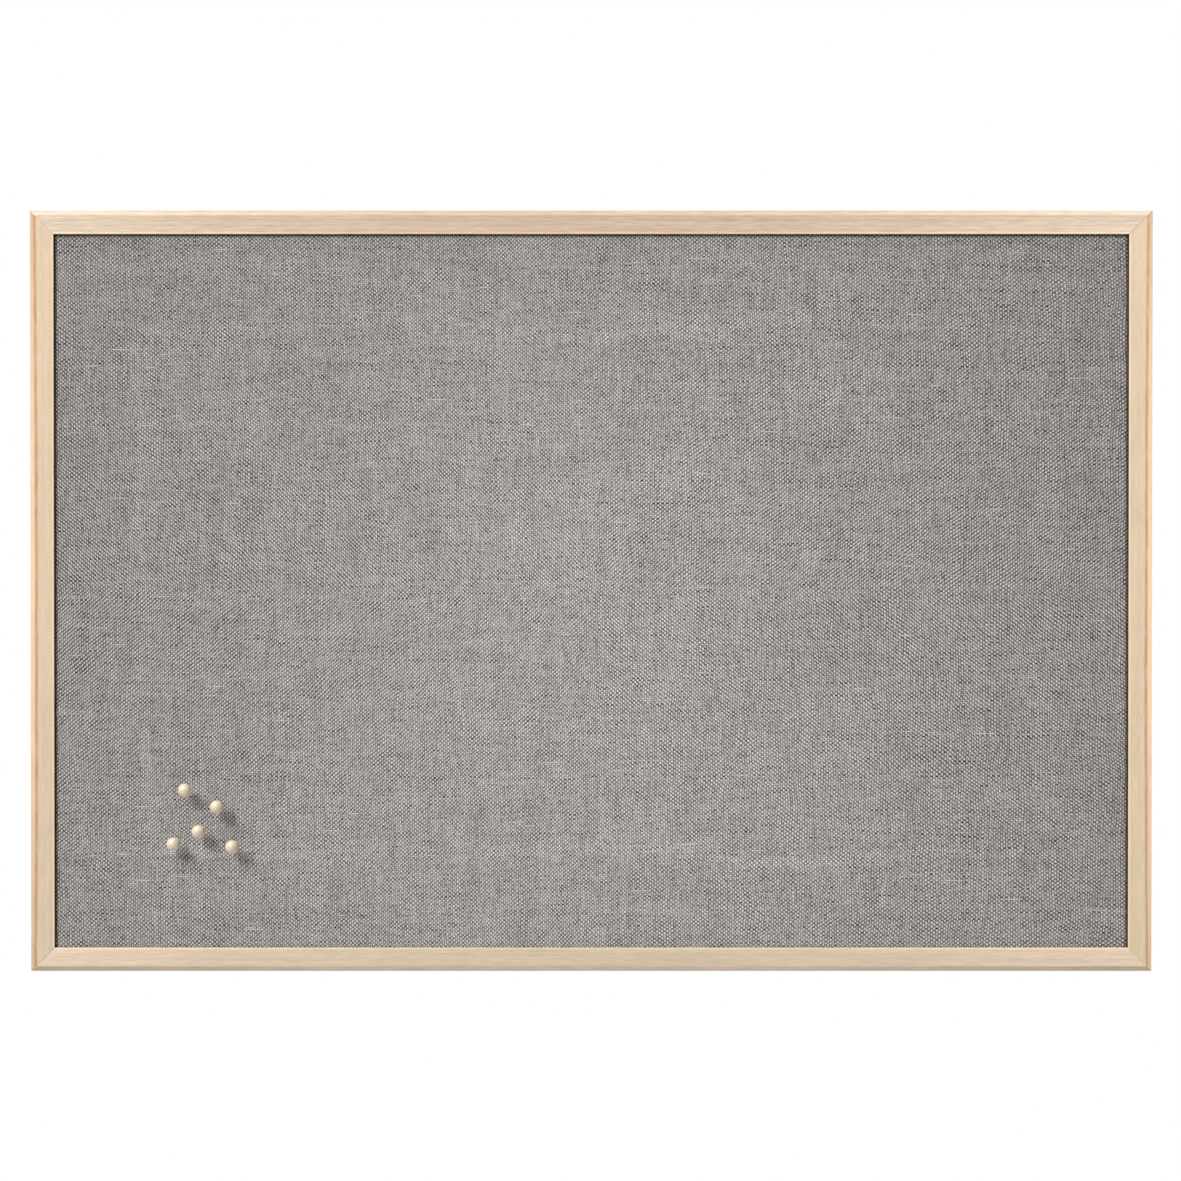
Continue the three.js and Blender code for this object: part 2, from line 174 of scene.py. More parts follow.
class BoardSettings(bpy.types.PropertyGroup):
    """The core and the back board"""

    core_colour: bpy.props.FloatVectorProperty(
        name="Core colour", description="Colour of the soft fibreboard", subtype="COLOR",
        default=(0.46, 0.33, 0.18))
    back_colour: bpy.props.FloatVectorProperty(
        name="Back colour", description="Colour of the hardboard", subtype="COLOR",
        default=(0.3, 0.175, 0.095))
    fleck_colour: bpy.props.FloatVectorProperty(
        name="Fleck colour", description="Colour of the hardboard's dark flecks",
        subtype="COLOR", default=(0.16, 0.085, 0.045))


class PinSettings(bpy.types.PropertyGroup):
    """The ball pins"""

    colour: bpy.props.FloatVectorProperty(
        name="Colour", description="Colour of the turned wood", subtype="COLOR",
        default=(0.64, 0.54, 0.4))
    hole_radius: bpy.props.FloatProperty(
        name="Hole radius", description="Radius of the hole that takes the needle",
        default=0.6 * MM, unit="LENGTH")
    hole_depth: bpy.props.FloatProperty(
        name="Hole depth", description="Depth of that hole", default=4.4 * MM,
        unit="LENGTH")
    flat_radius: bpy.props.FloatProperty(
        name="Flat radius", description="Radius of the flat round the hole",
        default=1.3 * MM, unit="LENGTH")


class HangerSettings(bpy.types.PropertyGroup):
    """The hangers and the steel parts"""

    nickel: bpy.props.FloatVectorProperty(
        name="Nickel", description="Colour of the hangers", subtype="COLOR",
        default=(0.66, 0.63, 0.57))
    steel: bpy.props.FloatVectorProperty(
        name="Steel", description="Colour of the needles and nails", subtype="COLOR",
        default=(0.6, 0.61, 0.62))
    bend_radius: bpy.props.FloatProperty(
        name="Bend radius", description="Of the bends at the ends of the ring's bar",
        default=2 * MM, unit="LENGTH")
    butt_gap: bpy.props.FloatProperty(
        name="Butt gap", description="Between the ends of the ring's wire",
        default=0.3 * MM, unit="LENGTH")


class Value:
    """A socket that takes part in arithmetic: each operator adds a Math node"""

    def __init__(self, tree, socket):
        self.tree = tree
        self.socket = socket

    def __add__(self, other):
        return self.tree.math("ADD", self, other)

    __radd__ = __add__

    def __sub__(self, other):
        return self.tree.math("SUBTRACT", self, other)

    def __rsub__(self, other):
        return self.tree.math("SUBTRACT", other, self)

    def __mul__(self, other):
        return self.tree.math("MULTIPLY", self, other)

    __rmul__ = __mul__

    def __truediv__(self, other):
        return self.tree.math("DIVIDE", self, other)

    def __pow__(self, other):
        return self.tree.math("POWER", self, other)


class Tree:
    """A node tree being written. Every node comes from its node method"""

    def __init__(self, tree):
        self.tree = tree

    def node(self, kind, settings=None, inputs=None):
        """Adds a node: its settings come first, then its sockets' values or links"""
        made = self.tree.nodes.new(kind)
        for name, value in (settings or {}).items():
            setattr(made, name, value)
        for name, value in (inputs or {}).items():
            if isinstance(value, Value):
                self.tree.links.new(value.socket, made.inputs[name])
            else:
                made.inputs[name].default_value = value
        return made

    def value(self, kind, settings=None, inputs=None, output=0):
        """Adds a node and gives one of its outputs"""
        return Value(self, self.node(kind, settings, inputs).outputs[output])

    def math(self, operation, *inputs):
        settings = {"operation": operation}
        return self.value("ShaderNodeMath", settings, dict(enumerate(inputs)))

    def clamped(self, value):
        """The value held between 0 and 1"""
        settings = {"operation": "ADD", "use_clamp": True}
        return self.value("ShaderNodeMath", settings, {0: value, 1: 0})

    def step(self, value, low, high):
        """0 below low, 1 above high and smooth between them"""
        settings = {"interpolation_type": "SMOOTHSTEP"}
        inputs = {"Value": value, "From Min": low, "From Max": high}
        return self.value("ShaderNodeMapRange", settings, inputs)

    def parts(self, vector):
        split = self.node("ShaderNodeSeparateXYZ", inputs={0: vector})
        return [Value(self, output) for output in split.outputs]

    def vector(self, x, y, z=0):
        return self.value("ShaderNodeCombineXYZ", inputs={0: x, 1: y, 2: z})

    def noise(self, vector, scale=1, detail=0, across="3D"):
        """Smooth noise about 0, mostly from -1 to 1"""
        settings = {"noise_dimensions": across}
        inputs = {"Vector": vector, "Scale": scale, "Detail": detail}
        return (self.value("ShaderNodeTexNoise", settings, inputs) - 0.5) * 3.6

    def chance(self, vector):
        """A number from -1 to 1 that is the same all over a cell"""
        settings = {"noise_dimensions": "3D"}
        return self.value("ShaderNodeTexWhiteNoise", settings, {"Vector": vector}) * 2 - 1

    def mix(self, share, first, second):
        """The first colour where share is 0, the second where it is 1"""
        settings = {"data_type": "RGBA"}
        inputs = {0: share, 6: opaque(first), 7: opaque(second)}
        return self.value("ShaderNodeMix", settings, inputs, output=2)

    def scaled(self, colour, factor):
        settings = {"operation": "SCALE"}
        return self.value("ShaderNodeVectorMath", settings, {0: colour, 3: factor})

    def tinted(self, colour, tint):
        settings = {"operation": "MULTIPLY"}
        return self.value("ShaderNodeVectorMath", settings, {0: colour, 1: tint})

    def bump(self, height, depth, strength=1.0):
        inputs = {"Height": height, "Distance": depth, "Strength": strength}
        return self.value("ShaderNodeBump", inputs=inputs)


def opaque(colour):
    """A plain colour with the fourth number that a colour socket needs"""
    return colour if isinstance(colour, Value) else (*colour, 1)


def new_material(name, **plain):
    """A material with one Principled shader, its plain values, and its tree"""
    material = bpy.data.materials.new(name)
    material.use_nodes = True
    shader = material.node_tree.nodes["Principled BSDF"]
    for socket, value in plain.items():
        shader.inputs[socket.replace("_", " ")].default_value = value
    return material, Tree(material.node_tree), shader


def feed(tree, shader, **sockets):
    """Links values to a shader's sockets, named with _ for a space"""
    for name, value in sockets.items():
        tree.tree.links.new(value.socket, shader.inputs[name.replace("_", " ")])


def place_of(tree):
    """Object coordinates in millimetres, as three values"""
    place = tree.value("ShaderNodeTexCoord", output="Object")
    return tree.parts(tree.scaled(place, 1 / MM))


def settings_of(context, name):
    return getattr(context.scene, "pinboard_" + name)


def finished(obj):
    """The object with its modifiers turned into plain mesh"""
    graph = bpy.context.evaluated_depsgraph_get()
    mesh = bpy.data.meshes.new_from_object(obj.evaluated_get(graph), depsgraph=graph)
    obj.modifiers.clear()
    obj.data = mesh
    return obj


def new_object(name, vertices, faces=(), edges=(), material=None):
    """An object at the origin, with its place in its mesh"""
    mesh = bpy.data.meshes.new(name)
    mesh.from_pydata(vertices, edges, faces)
    mesh.polygons.foreach_set("use_smooth", [True] * len(mesh.polygons))
    obj = bpy.data.objects.new(name, mesh)
    bpy.context.scene.collection.objects.link(obj)
    if material:
        mesh.materials.append(material)
    return obj


def dress(nodes, material):
    """Gives CAD nodes a finish"""
    for name in nodes:
        for slot in frame["nodes"][name].material_slots:
            slot.material = material


def add_part(obj, body, slot, *nodes):
    """Puts a finished piece on its body, in place of the CAD nodes named"""
    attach(obj, body)
    if nodes:
        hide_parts(*nodes)


# Stage

# Each lamp: its name, the direction it stands in as seen from the board, its distance,
# its size, and its share of the light on the side that it faces
LAMPS = (
    ("key", (-0.68, -1, 0.67), 8, 2.2, 0.47),
    ("upper_key", (-0.96, -0.8, 0.96), 8, 2.6, 0.13),
    ("overhead", (-0.35, -0.2, 1), 5, 2, 0.06),
    ("frame_edge", (1.6, -0.5, 0.1), 5, 2.5, 0.14),
    ("pin_key", (-1.1, -1, 1.25), 8, 2, 0.6),
    ("back_key", (0.7, 1, 0.8), 4, 1.1, 0.36),
    ("back_fill", (-1, 1, 0.2), 4, 2.6, 0.24),
)
FRAME_LAMP = "frame_edge"  # lights the wooden frame only
PIN_LAMP = "pin_key"  # lights the heads of the pins, in place of the two key lamps
KEY_LAMPS = ("key", "upper_key")
FLOOR_HALF = 1.5
FLOOR_PALE_FROM = 0.55  # where the floor starts to fade into the white background
FLOOR_PALE_TO = 0.9
SENSOR_WIDTH = 36  # in millimetres


def seen_directly(tree):
    """1 for what the camera sees, also in a mirror or through glass"""
    path = tree.node("ShaderNodeLightPath")
    names = ("Is Camera Ray", "Is Glossy Ray", "Is Transmission Ray")
    camera, glossy, through = [Value(tree, path.outputs[name]) for name in names]
    return tree.math("MAXIMUM", camera, tree.math("MAXIMUM", glossy, through))


def make_world(ambient):
    """White for the camera, and an even weak light for everything else"""
    world = bpy.data.worlds.new("White background")
    world.use_nodes = True
    tree = Tree(world.node_tree)
    strength = ambient + (1 - ambient) * seen_directly(tree)
    background = world.node_tree.nodes["Background"]
    background.inputs["Color"].default_value = (1, 1, 1, 1)
    tree.tree.links.new(strength.socket, background.inputs["Strength"])
    bpy.context.scene.world = world


def make_lamp(name, direction, distance, size, share, target):
    """A round lamp that lights the board's face, or its back, to a share of white"""
    light = bpy.data.lights.new(name, "AREA")
    light.shape = "DISK"
    light.size = size
    aim = Vector(direction).normalized()
    light.energy = share * WATTS_FOR_WHITE * distance ** 2 / abs(aim.y)
    lamp = bpy.data.objects.new(name, light)
    lamp.location = target + aim * distance
    lamp.rotation_euler = aim.to_track_quat("Z", "Y").to_euler()
    lamp.visible_camera = False
    bpy.context.scene.collection.objects.link(lamp)


def limit_lamp(name, objects, state):
    """Makes a lamp light only these objects (INCLUDE) or all but these (EXCLUDE)"""
    listed = bpy.data.collections.new("limits of " + name)
    bpy.data.objects[name].light_linking.receiver_collection = listed
    for obj in objects:
        listed.objects.link(obj)
    for item in listed.collection_objects:
        item.light_linking.link_state = state


def make_floor(height, colour):
    """A pale floor that fades into the white background away from the board"""
    material, tree, shader = new_material("Pale floor", Roughness=0.9)
    x, y, _ = place_of(tree)
    grain = tree.noise(tree.vector(x, y), scale=0.02, detail=3)
    tone = 1 + 0.01 * grain
    feed(tree, shader, Base_Color=tree.scaled(colour, tone))
    far = tree.math("SQRT", x * x + y * y) * MM
    fade = tree.step(far, FLOOR_PALE_FROM, FLOOR_PALE_TO) * seen_directly(tree)
    glow = tree.node("ShaderNodeEmission", inputs={"Strength": 1.0})
    blend = tree.node("ShaderNodeMixShader", inputs={0: fade})
    links = tree.tree.links
    links.new(shader.outputs[0], blend.inputs[1])
    links.new(glow.outputs[0], blend.inputs[2])
    links.new(blend.outputs[0], tree.tree.nodes["Material Output"].inputs[0])
    corners = [(-1, -1), (1, -1), (1, 1), (-1, 1)]
    vertices = [(FLOOR_HALF * x, FLOOR_HALF * y, height) for x, y in corners]
    floor = new_object("floor", vertices, [(0, 1, 2, 3)], material=material)


def make_camera(distance, elevation, lens, target):
    """The photograph's view: nearly square on, from a little above the middle"""
    camera = bpy.data.cameras.new("camera")
    camera.sensor_width = SENSOR_WIDTH
    camera.lens = lens
    holder = bpy.data.objects.new("camera", camera)
    aim = Vector((0, -math.cos(elevation), math.sin(elevation)))
    holder.location = target + aim * distance
    holder.rotation_euler = aim.to_track_quat("Z", "Y").to_euler()
    bpy.context.scene.collection.objects.link(holder)
    bpy.context.scene.camera = holder


class PINBOARD_OT_stage(bpy.types.Operator):
    """Makes the camera, the lamps, the white background and the pale floor"""

    bl_idname = "pinboard.stage"
    bl_label = "Stage"

    # The board stands this far right of and below the middle of the picture
    picture_offset = (0.43 * MM, -0.45 * MM)

    def execute(self, context):
        settings = settings_of(context, "stage")
        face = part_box("top_rail")[0].y
        right, up = self.picture_offset
        make_camera(settings.camera_distance, settings.camera_elevation,
                    settings.camera_lens, Vector((-right, face, -up)))
        for row in LAMPS:
            make_lamp(*row, target=Vector((0, face, 0)))
        make_world(settings.ambient)
        make_floor(-board_half_height - settings.floor_drop, settings.floor_colour)
        context.scene.view_settings.view_transform = "Standard"
        return {"FINISHED"}


# Frame

# Each side of the frame. first: how far its first dark ring lies from the outside, and
# drift how much nearer that comes at the ends. spacing: of the rings. strengths: of the
# first ring and the others. face and chamfer: their tints in the middle and at the ends,
# partly the wood's tone and partly painted light and shade for that side; the chamfer
# tints are painted light and shade, darkest on the chamfer that faces down. streaks:
# their contrast. slope: painted light that changes the tone to the right or upper end.
# lean: change of tone inwards
SIDES = {
    "top_rail": dict(
        along="x", outwards=1, first=2.7, drift=0, spacing=2.6, strengths=(0.22, 0.2),
        face=((0.81, 0.79, 0.8), (1.02, 1.09, 1.17)),
        chamfer_light_and_shade=((0.93, 0.92, 0.94), (1.2, 1.29, 1.46)),
        streaks=0.14, painted_light_slope=0.01, lean=0.11),
    "bottom_rail": dict(
        along="x", outwards=-1, first=2.9, drift=0, spacing=3.1, strengths=(0.1, 0.08),
        face=((0.745, 0.77, 0.785), (0.905, 0.925, 0.975)),
        chamfer_light_and_shade=((0.76, 0.79, 0.89), (0.63, 0.64, 0.645)),
        streaks=0.1, painted_light_slope=0, lean=0.06),
    "left_stile": dict(
        along="z", outwards=-1, first=3.15, drift=0.7, spacing=4.2,
        strengths=(1, 0.07), face=((0.885, 0.895, 0.89), (0.885, 0.895, 0.885)),
        chamfer_light_and_shade=((1.02, 0.94, 0.9), (0.81, 0.73, 0.66)),
        streaks=0.065, painted_light_slope=0.105, lean=-0.04),
    "right_stile": dict(
        along="z", outwards=1, first=3.15, drift=0.7, spacing=4.2,
        strengths=(1, 0.07), face=((0.92, 0.92, 0.91), (0.92, 0.92, 0.9)),
        chamfer_light_and_shade=((1.3, 1.21, 1.11), (0.97, 0.87, 0.73)),
        streaks=0.065, painted_light_slope=0.105, lean=-0.04),
}
# Sizes of the moulding, in millimetres: its outer bevel, its face, and its rebate lip
CHAMFER = 2.5
FACE_WIDTH = 12.6
LIP_WIDTH = 4
LIP_THICKNESS = 2


def pine(name, wood, along, outwards, first, drift, spacing, strengths, face, chamfer_light_and_shade,
         streaks, painted_light_slope, lean):
    """Pine with its rings nearly parallel to the outside of one side of the frame"""
    material, tree, shader = new_material(name, Roughness=0.55)
    x, y, z = place_of(tree)
    run, side = (x, z) if along == "x" else (z, x)
    half_run, half_side = (
        (board_half_width, board_half_height) if along == "x"
        else (board_half_height, board_half_width))
    inset = half_side / MM - outwards * side
    share = run / (half_run / MM)
    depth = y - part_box("top_rail")[0].y / MM

    def grain(long, thick, detail=1):
        """Noise drawn out along the grain, as long and as thick as this in millimetres"""
        return tree.noise(tree.vector(run / long, side / thick, y / thick), detail=detail)

    # Rings waver slowly along the grain and lean through the depth of the wood
    waver = grain(70, 30) * 0.3 + grain(17.5, 7.5, 0) * 0.07
    ring = (inset - first + drift * share * share + waver - depth * 0.3) / spacing

    # The dark line that ends a ring, in millimetres from its middle
    offset = (tree.math("FRACT", ring + 0.5) - 0.5) * spacing
    line = tree.step(offset, -1.35, -0.4) * (1 - tree.step(offset, 0.5, 1.15))
    is_first = 1 - tree.step(tree.math("ABSOLUTE", ring), 0.4, 0.6)
    broken = grain(13, 3) * 0.3 + 0.85
    strength = (strengths[1] + (strengths[0] - strengths[1]) * is_first) * broken

    # Fibres, streaks, pores and slow changes of tone, and painted light that pales the wood
    # towards one end
    fibre = grain(9, 0.3, 2)
    streaky = grain(11, 0.75) + 0.6 * grain(60, 2.4) - tree.step(grain(5, 0.42), 0.55, 1.1)
    uneven = grain(34, 12) + grain(1.3, 0.5)
    pores = tree.step(grain(2.2, 0.16, 0), 0.75, 1.15)
    inwards = inset / FACE_WIDTH - 0.5
    tone = (1.02 + wood.fibre * 0.4 * fibre + streaks * streaky + 0.03 * uneven
            - 0.13 * pores + painted_light_slope * share + lean * inwards)
    colour = tree.mix(tree.clamped(line * strength), wood.early_colour, wood.late_colour)

    # Painted light and shade: each side's face and chamfer get their own tints in the middle
    # and at the ends, and a painted highlight makes the sight edge paler
    on_face = tree.step(inset, CHAMFER - 0.1, CHAMFER + 0.25)
    near_end = share * share
    tint = tree.mix(on_face, tree.mix(near_end, *chamfer_light_and_shade), tree.mix(near_end, *face))
    colour = tree.tinted(colour, tint)
    # painted highlight along the sight edge
    painted_edge_highlight = tree.step(inset, FACE_WIDTH - 1.2, FACE_WIDTH - 0.8) * 0.2
    feed(tree, shader, Base_Color=tree.scaled(colour, tone + painted_edge_highlight))
    feed(tree, shader, Roughness=0.56 + 0.07 * fibre - 0.08 * line)
    relief = fibre * 0.5 + line * strength * 0.8 - pores * 1.2
    feed(tree, shader, Normal=tree.bump(relief, 0.03 * MM, 0.6))
    return material


GLUE_SET_BACK = 0.12 * MM  # behind the faces of the wood
GLUE_CUT = 0.4  # the share of that by which the ends of the chamfer are moved
GLUE_HALF_THICKNESS = 0.13 * MM


def wood_glue(wood):
    """Dried glue with sanding dust in it, nearly as pale as the pine"""
    material, tree, shader = new_material("Wood glue", Roughness=0.5)
    x, y, z = place_of(tree)
    dust = tree.noise(tree.vector(x, y, z), scale=1.2, detail=3)
    colour = [0.93 * c for c in wood.early_colour]
    feed(tree, shader, Base_Color=tree.scaled(colour, 1 + 0.08 * dust))
    feed(tree, shader, Normal=tree.bump(dust, 0.03 * MM, 0.5))
    return material


def glue_mesh(right, up):
    """A thin plate that fills one mitre, set back from the faces of the wood"""
    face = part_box("top_rail")[0].y
    lip_rear = face + LIP_THICKNESS * MM
    back, lip = (FACE_WIDTH - LIP_WIDTH) * MM, FACE_WIDTH * MM
    gap = GLUE_SET_BACK
    outline = [
        (gap, -gap), (back - gap, -gap), (back - gap, lip_rear + gap),
        (lip - gap, lip_rear + gap), (lip - gap, face + gap),
        (CHAMFER * MM + gap * GLUE_CUT, face + gap), (gap, lip_rear + gap * GLUE_CUT)]
    normal = Vector((right, 0, -up)).normalized() * GLUE_HALF_THICKNESS
    vertices = []
    for side in (-1, 1):
        for inset, y in outline:
            corner = Vector((right * (board_half_width - inset), y,
                             up * (board_half_height - inset)))
            vertices.append(corner + side * normal)
    count = len(outline)
    faces = [tuple(range(count)), tuple(range(2 * count - 1, count - 1, -1))]
    faces += [(k, k + count, (k + 1) % count + count, (k + 1) % count)
              for k in range(count)]
    return vertices, faces


def make_glue(material):
    """The four plates as one object, with its faces outward"""
    vertices, faces = [], []
    for right in (-1, 1):
        for up in (-1, 1):
            plate, sides = glue_mesh(right, up)
            faces += [[index + len(vertices) for index in side] for side in sides]
            vertices += plate
    glue = new_object("mitre_glue", vertices, faces, material=material)
    glue.data.polygons.foreach_set("use_smooth", [False] * len(faces))
    face_outward(glue.data)
    add_part(glue, "board", "frame_pine")


def face_outward(mesh):
    """Turns the faces of closed shells outward"""
    shells = bmesh.new()
    shells.from_mesh(mesh)
    bmesh.ops.recalc_face_normals(shells, faces=shells.faces)
    shells.to_mesh(mesh)
    shells.free()


class PINBOARD_OT_frame(bpy.types.Operator):
    """Gives the rails and stiles their pine, fills the mitres with glue and gives the
    nails and tabs their steel"""

    bl_idname = "pinboard.frame"
    bl_label = "Frame"

    def execute(self, context):
        wood = settings_of(context, "wood")
        metal = settings_of(context, "hangers")
        for name, grain in SIDES.items():
            dress([name], pine("Pine of the " + name.replace("_", " "), wood, **grain))
        limit_lamp(FRAME_LAMP, [frame["nodes"][name] for name in SIDES], "INCLUDE")
        make_glue(wood_glue(wood))
        nails = [name for name in frame["nodes"] if name.startswith("v_nail")]
        tabs = [name for name in frame["nodes"] if name.startswith("retaining_tab")]
        dress(nails, brushed_metal("Nail steel", metal.steel, 0.42, 0.1))
        dress(tabs, brushed_metal("Tab steel", [0.62 * c for c in metal.steel], 0.4, 0.25))
        return {"FINISHED"}


def brushed_metal(name, colour, roughness, stain):
    """Drawn or rolled metal with fine scratches and dull stains"""
    material, tree, shader = new_material(name, Metallic=1.0)
    x, y, z = place_of(tree)
    scratch = tree.noise(tree.vector(x / 0.8, y / 0.05, z / 0.05), detail=1)
    blotch = tree.noise(tree.vector(x, y, z), scale=0.45, detail=3)
    dull = tree.clamped(blotch * 0.6) * stain
    tone = 1 + 0.06 * scratch - dull
    feed(tree, shader, Base_Color=tree.scaled(colour, tone))
    feed(tree, shader, Roughness=roughness + 0.05 * scratch + 0.5 * dull)
    feed(tree, shader, Normal=tree.bump(scratch, 0.004 * MM, 0.5))
    return material


# Linen

# The upright threads lie wider apart right of the middle and closer left of it, by this
# share from this reach on. They also spread towards both sides, by this share at the edge
RIGHT_WIDER = 0.057
RIGHT_REACH = 20 * MM
SIDES_WIDER = 0.126

# How many threads the weave wanders sideways over a long and over a short way
BOW = 1.6
BOW_LENGTH = 150 * MM
WAVER = 1.0
WAVER_LENGTH = 18 * MM

# The two sets of threads. stray: how far a thread lies out of its row. width: of a thread,
# as a share of the row. drift, batch and chance: how much its tone changes over 9 threads,
# over 45 and from one crossing to the next. seeds: of stray, width, drift and batch
WARP = dict(stray=0.09, width=1.15, drift=0.16, batch=0.11, chance=0.16,
            seeds=(0, 0, 200, 700))
WEFT = dict(stray=0.07, width=0.78, drift=0.36, batch=0.16, chance=0.46,
            seeds=(60, 40, 130, 500))
SKEW = 0.62  # how strongly the crossings run together into slanting lines
LEAN_TURN = 8  # half the way, in millimetres, over which those lines change direction
LINEN_GAIN = 1.17  # makes up for the light that is lost between the threads
PALEST = 0.8  # tones near this are held back
USUAL_TONE = 0.38

# Painted shade: how much darker the linen is painted at its left and right sides and at its
# top and bottom, where the light falls off, and the share of its tone that is left in the
# painted shadow of the frame in the groove beside it
SIDES_PAINTED_SHADE = 0.225
ENDS_PAINTED_SHADE = 0.125
SIDE_GROOVE_PAINTED_SHADOW = 0.13
TOP_GROOVE_PAINTED_SHADOW = 0.3

EDGE_RADIUS = 1.0 * MM
CORNER_INSET = 0.44 * MM  # how far the folded corners are drawn in
CROWN_REACH = 30 * MM  # from the frame to where the crown has its full height
RIPPLE_LENGTH = 34 * MM
SHORT_RIPPLE_LENGTH = 16 * MM
DIMPLE_DEPTH = 0.22 * MM  # round each needle
DIMPLE_RADIUS = 1.3 * MM
RIM_HEIGHT = 0.05 * MM  # of the slight rise round each dimple
RIM_RADIUS = 3 * MM
RIM_WIDTH = 1.2 * MM
HOLE_RADIUS = 0.55 * MM
HOLE_GRID = 0.4 * MM
FINE_REACH = 5 * MM  # how far the finer grid goes past the pins
FILLET_STEPS = 3
SIDE_STEPS = 3
HEM_STEPS = 5

# Four faint pale creases, in millimetres: how far the two level ones lie from the middle
# of the board and how they bend, how far the two upright ones lie from it, and how wide
# and how much paler all of them are
CREASE_HIGH = 141
CREASE_BEND = 4.5
CREASE_BEND_LENGTH = 224
CREASE_WIDE = 240
CREASE_HALF_WIDTH = 6
CREASE_TONE = 0.095

SLUB_RADIUS = 0.33 * MM
SLUB_RISE = 0.22 * MM  # how far a thick thread rises and dips as it weaves
SLUB_SINK = 0.14 * MM  # how far its middle line lies behind the face of the cloth
SLUB_MARGIN = 4 * MM
SLUB_LENGTHS = (4, 12)  # in threads
SLUB_FULLNESS = (0.75, 1.15)
SLUB_STEPS = 3  # points for each thread that it crosses
SLUB_TONES = (0.36, 0.44, 0.54)
FUZZ_LENGTH = 2.2 * MM
FUZZ_HEIGHT = 0.3 * MM
FUZZ_THICKNESS = 0.03 * MM
FUZZ_TONE = 0.5
FUZZ_MARGIN = 3 * MM
FUZZ_COLUMNS = 60
FUZZ_ROWS = 40


def wander(x, z, seed):
    """How far the threads wander at a place, in threads"""
    slow = noise.noise(Vector((x / BOW_LENGTH, z / BOW_LENGTH, seed)))
    quick = noise.noise(Vector((x / WAVER_LENGTH, z / WAVER_LENGTH, seed + 5)))
    return BOW * slow + WAVER * quick


def upright_count(x, linen):
    """How many upright threads lie between the middle and a place"""
    right = RIGHT_WIDER * RIGHT_REACH * math.log(math.cosh(x / RIGHT_REACH))
    sides = SIDES_WIDER * x * abs(x) / (2 * sight_half_width)
    return (x - right - sides) / linen.warp_pitch


def thread_counts(x, z, linen):
    """Which upright and level thread lie at a place"""
    return upright_count(x, linen) + wander(x, z, 1), z / linen.weft_pitch + wander(x, z, 2)


def thread_place(upright, level, linen):
    """Where two threads cross: thread_counts turned round, step by step"""
    x, z = upright * linen.warp_pitch, level * linen.weft_pitch
    for _ in range(8):
        across, along = thread_counts(x, z, linen)
        x += (upright - across) * linen.warp_pitch
        z += (level - along) * linen.weft_pitch
    return x, z


def smooth_step(value):
    """0 up to 0, 1 from 1 on and smooth between them"""
    value = min(max(value, 0), 1)
    return value * value * (3 - 2 * value)


def needle_line(pin):
    """Where a needle enters the linen, its direction out of the board, and the middle and
    the radius of its head"""
    low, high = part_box(pin + "_head")
    radius = (high.x - low.x) / 2
    middle = Vector(((low.x + high.x) / 2, low.y + radius, (low.z + high.z) / 2))
    joint = next(j for j in frame["joints"] if j["child"] == pin)
    axis = Vector(joint["axis"]).normalized()
    return middle - axis * ((middle.y - linen_low.y) / axis.y), axis, middle, radius


def linen_face(x, z, linen, entries):
    """The Y of the front of the cloth: crowned, a little uneven, dimpled at the pins"""
    free = (smooth_step((sight_half_width - abs(x)) / CROWN_REACH)
            * smooth_step((sight_half_height - abs(z)) / CROWN_REACH))
    place = Vector((x, z, 0))
    uneven = (noise.noise(place / RIPPLE_LENGTH)
              + 0.6 * noise.noise(place / SHORT_RIPPLE_LENGTH))
    out = free * (linen.crown + linen.ripple * uneven)
    for entry in entries:
        reach = math.hypot(x - entry.x, z - entry.z)
        out -= DIMPLE_DEPTH * math.exp(-((reach / DIMPLE_RADIUS) ** 2))
        out += RIM_HEIGHT * math.exp(-(((reach - RIM_RADIUS) / RIM_WIDTH) ** 2))
    return linen_low.y - out


def grid_lines(half, centres, linen):
    """Places of the cloth's grid lines, with three through each needle hole"""
    fixed = [-half, half, min(centres) - FINE_REACH, max(centres) + FINE_REACH]
    fixed += [centre + step * HOLE_GRID for centre in centres for step in (-1, 0, 1)]
    fixed.sort()
    fine_from, fine_to = fixed[1], fixed[-2]
    lines = [fixed[0]]
    for start, end in zip(fixed, fixed[1:]):
        is_fine = fine_from <= start and end <= fine_to
        count = math.ceil((end - start) / (linen.fine_grid if is_fine else linen.grid))
        lines += [start + (end - start) * k / count for k in range(1, count + 1)]
    return lines


def border_of(columns, rows):
    """Grid places round the edge, from the lower left corner through the lower right"""
    last_column, last_row = columns - 1, rows - 1
    lower = [(i, 0) for i in range(last_column)]
    right = [(last_column, j) for j in range(last_row)]
    upper = [(i, last_row) for i in range(last_column, 0, -1)]
    left = [(0, j) for j in range(last_row, 0, -1)]
    return lower + right + upper + left


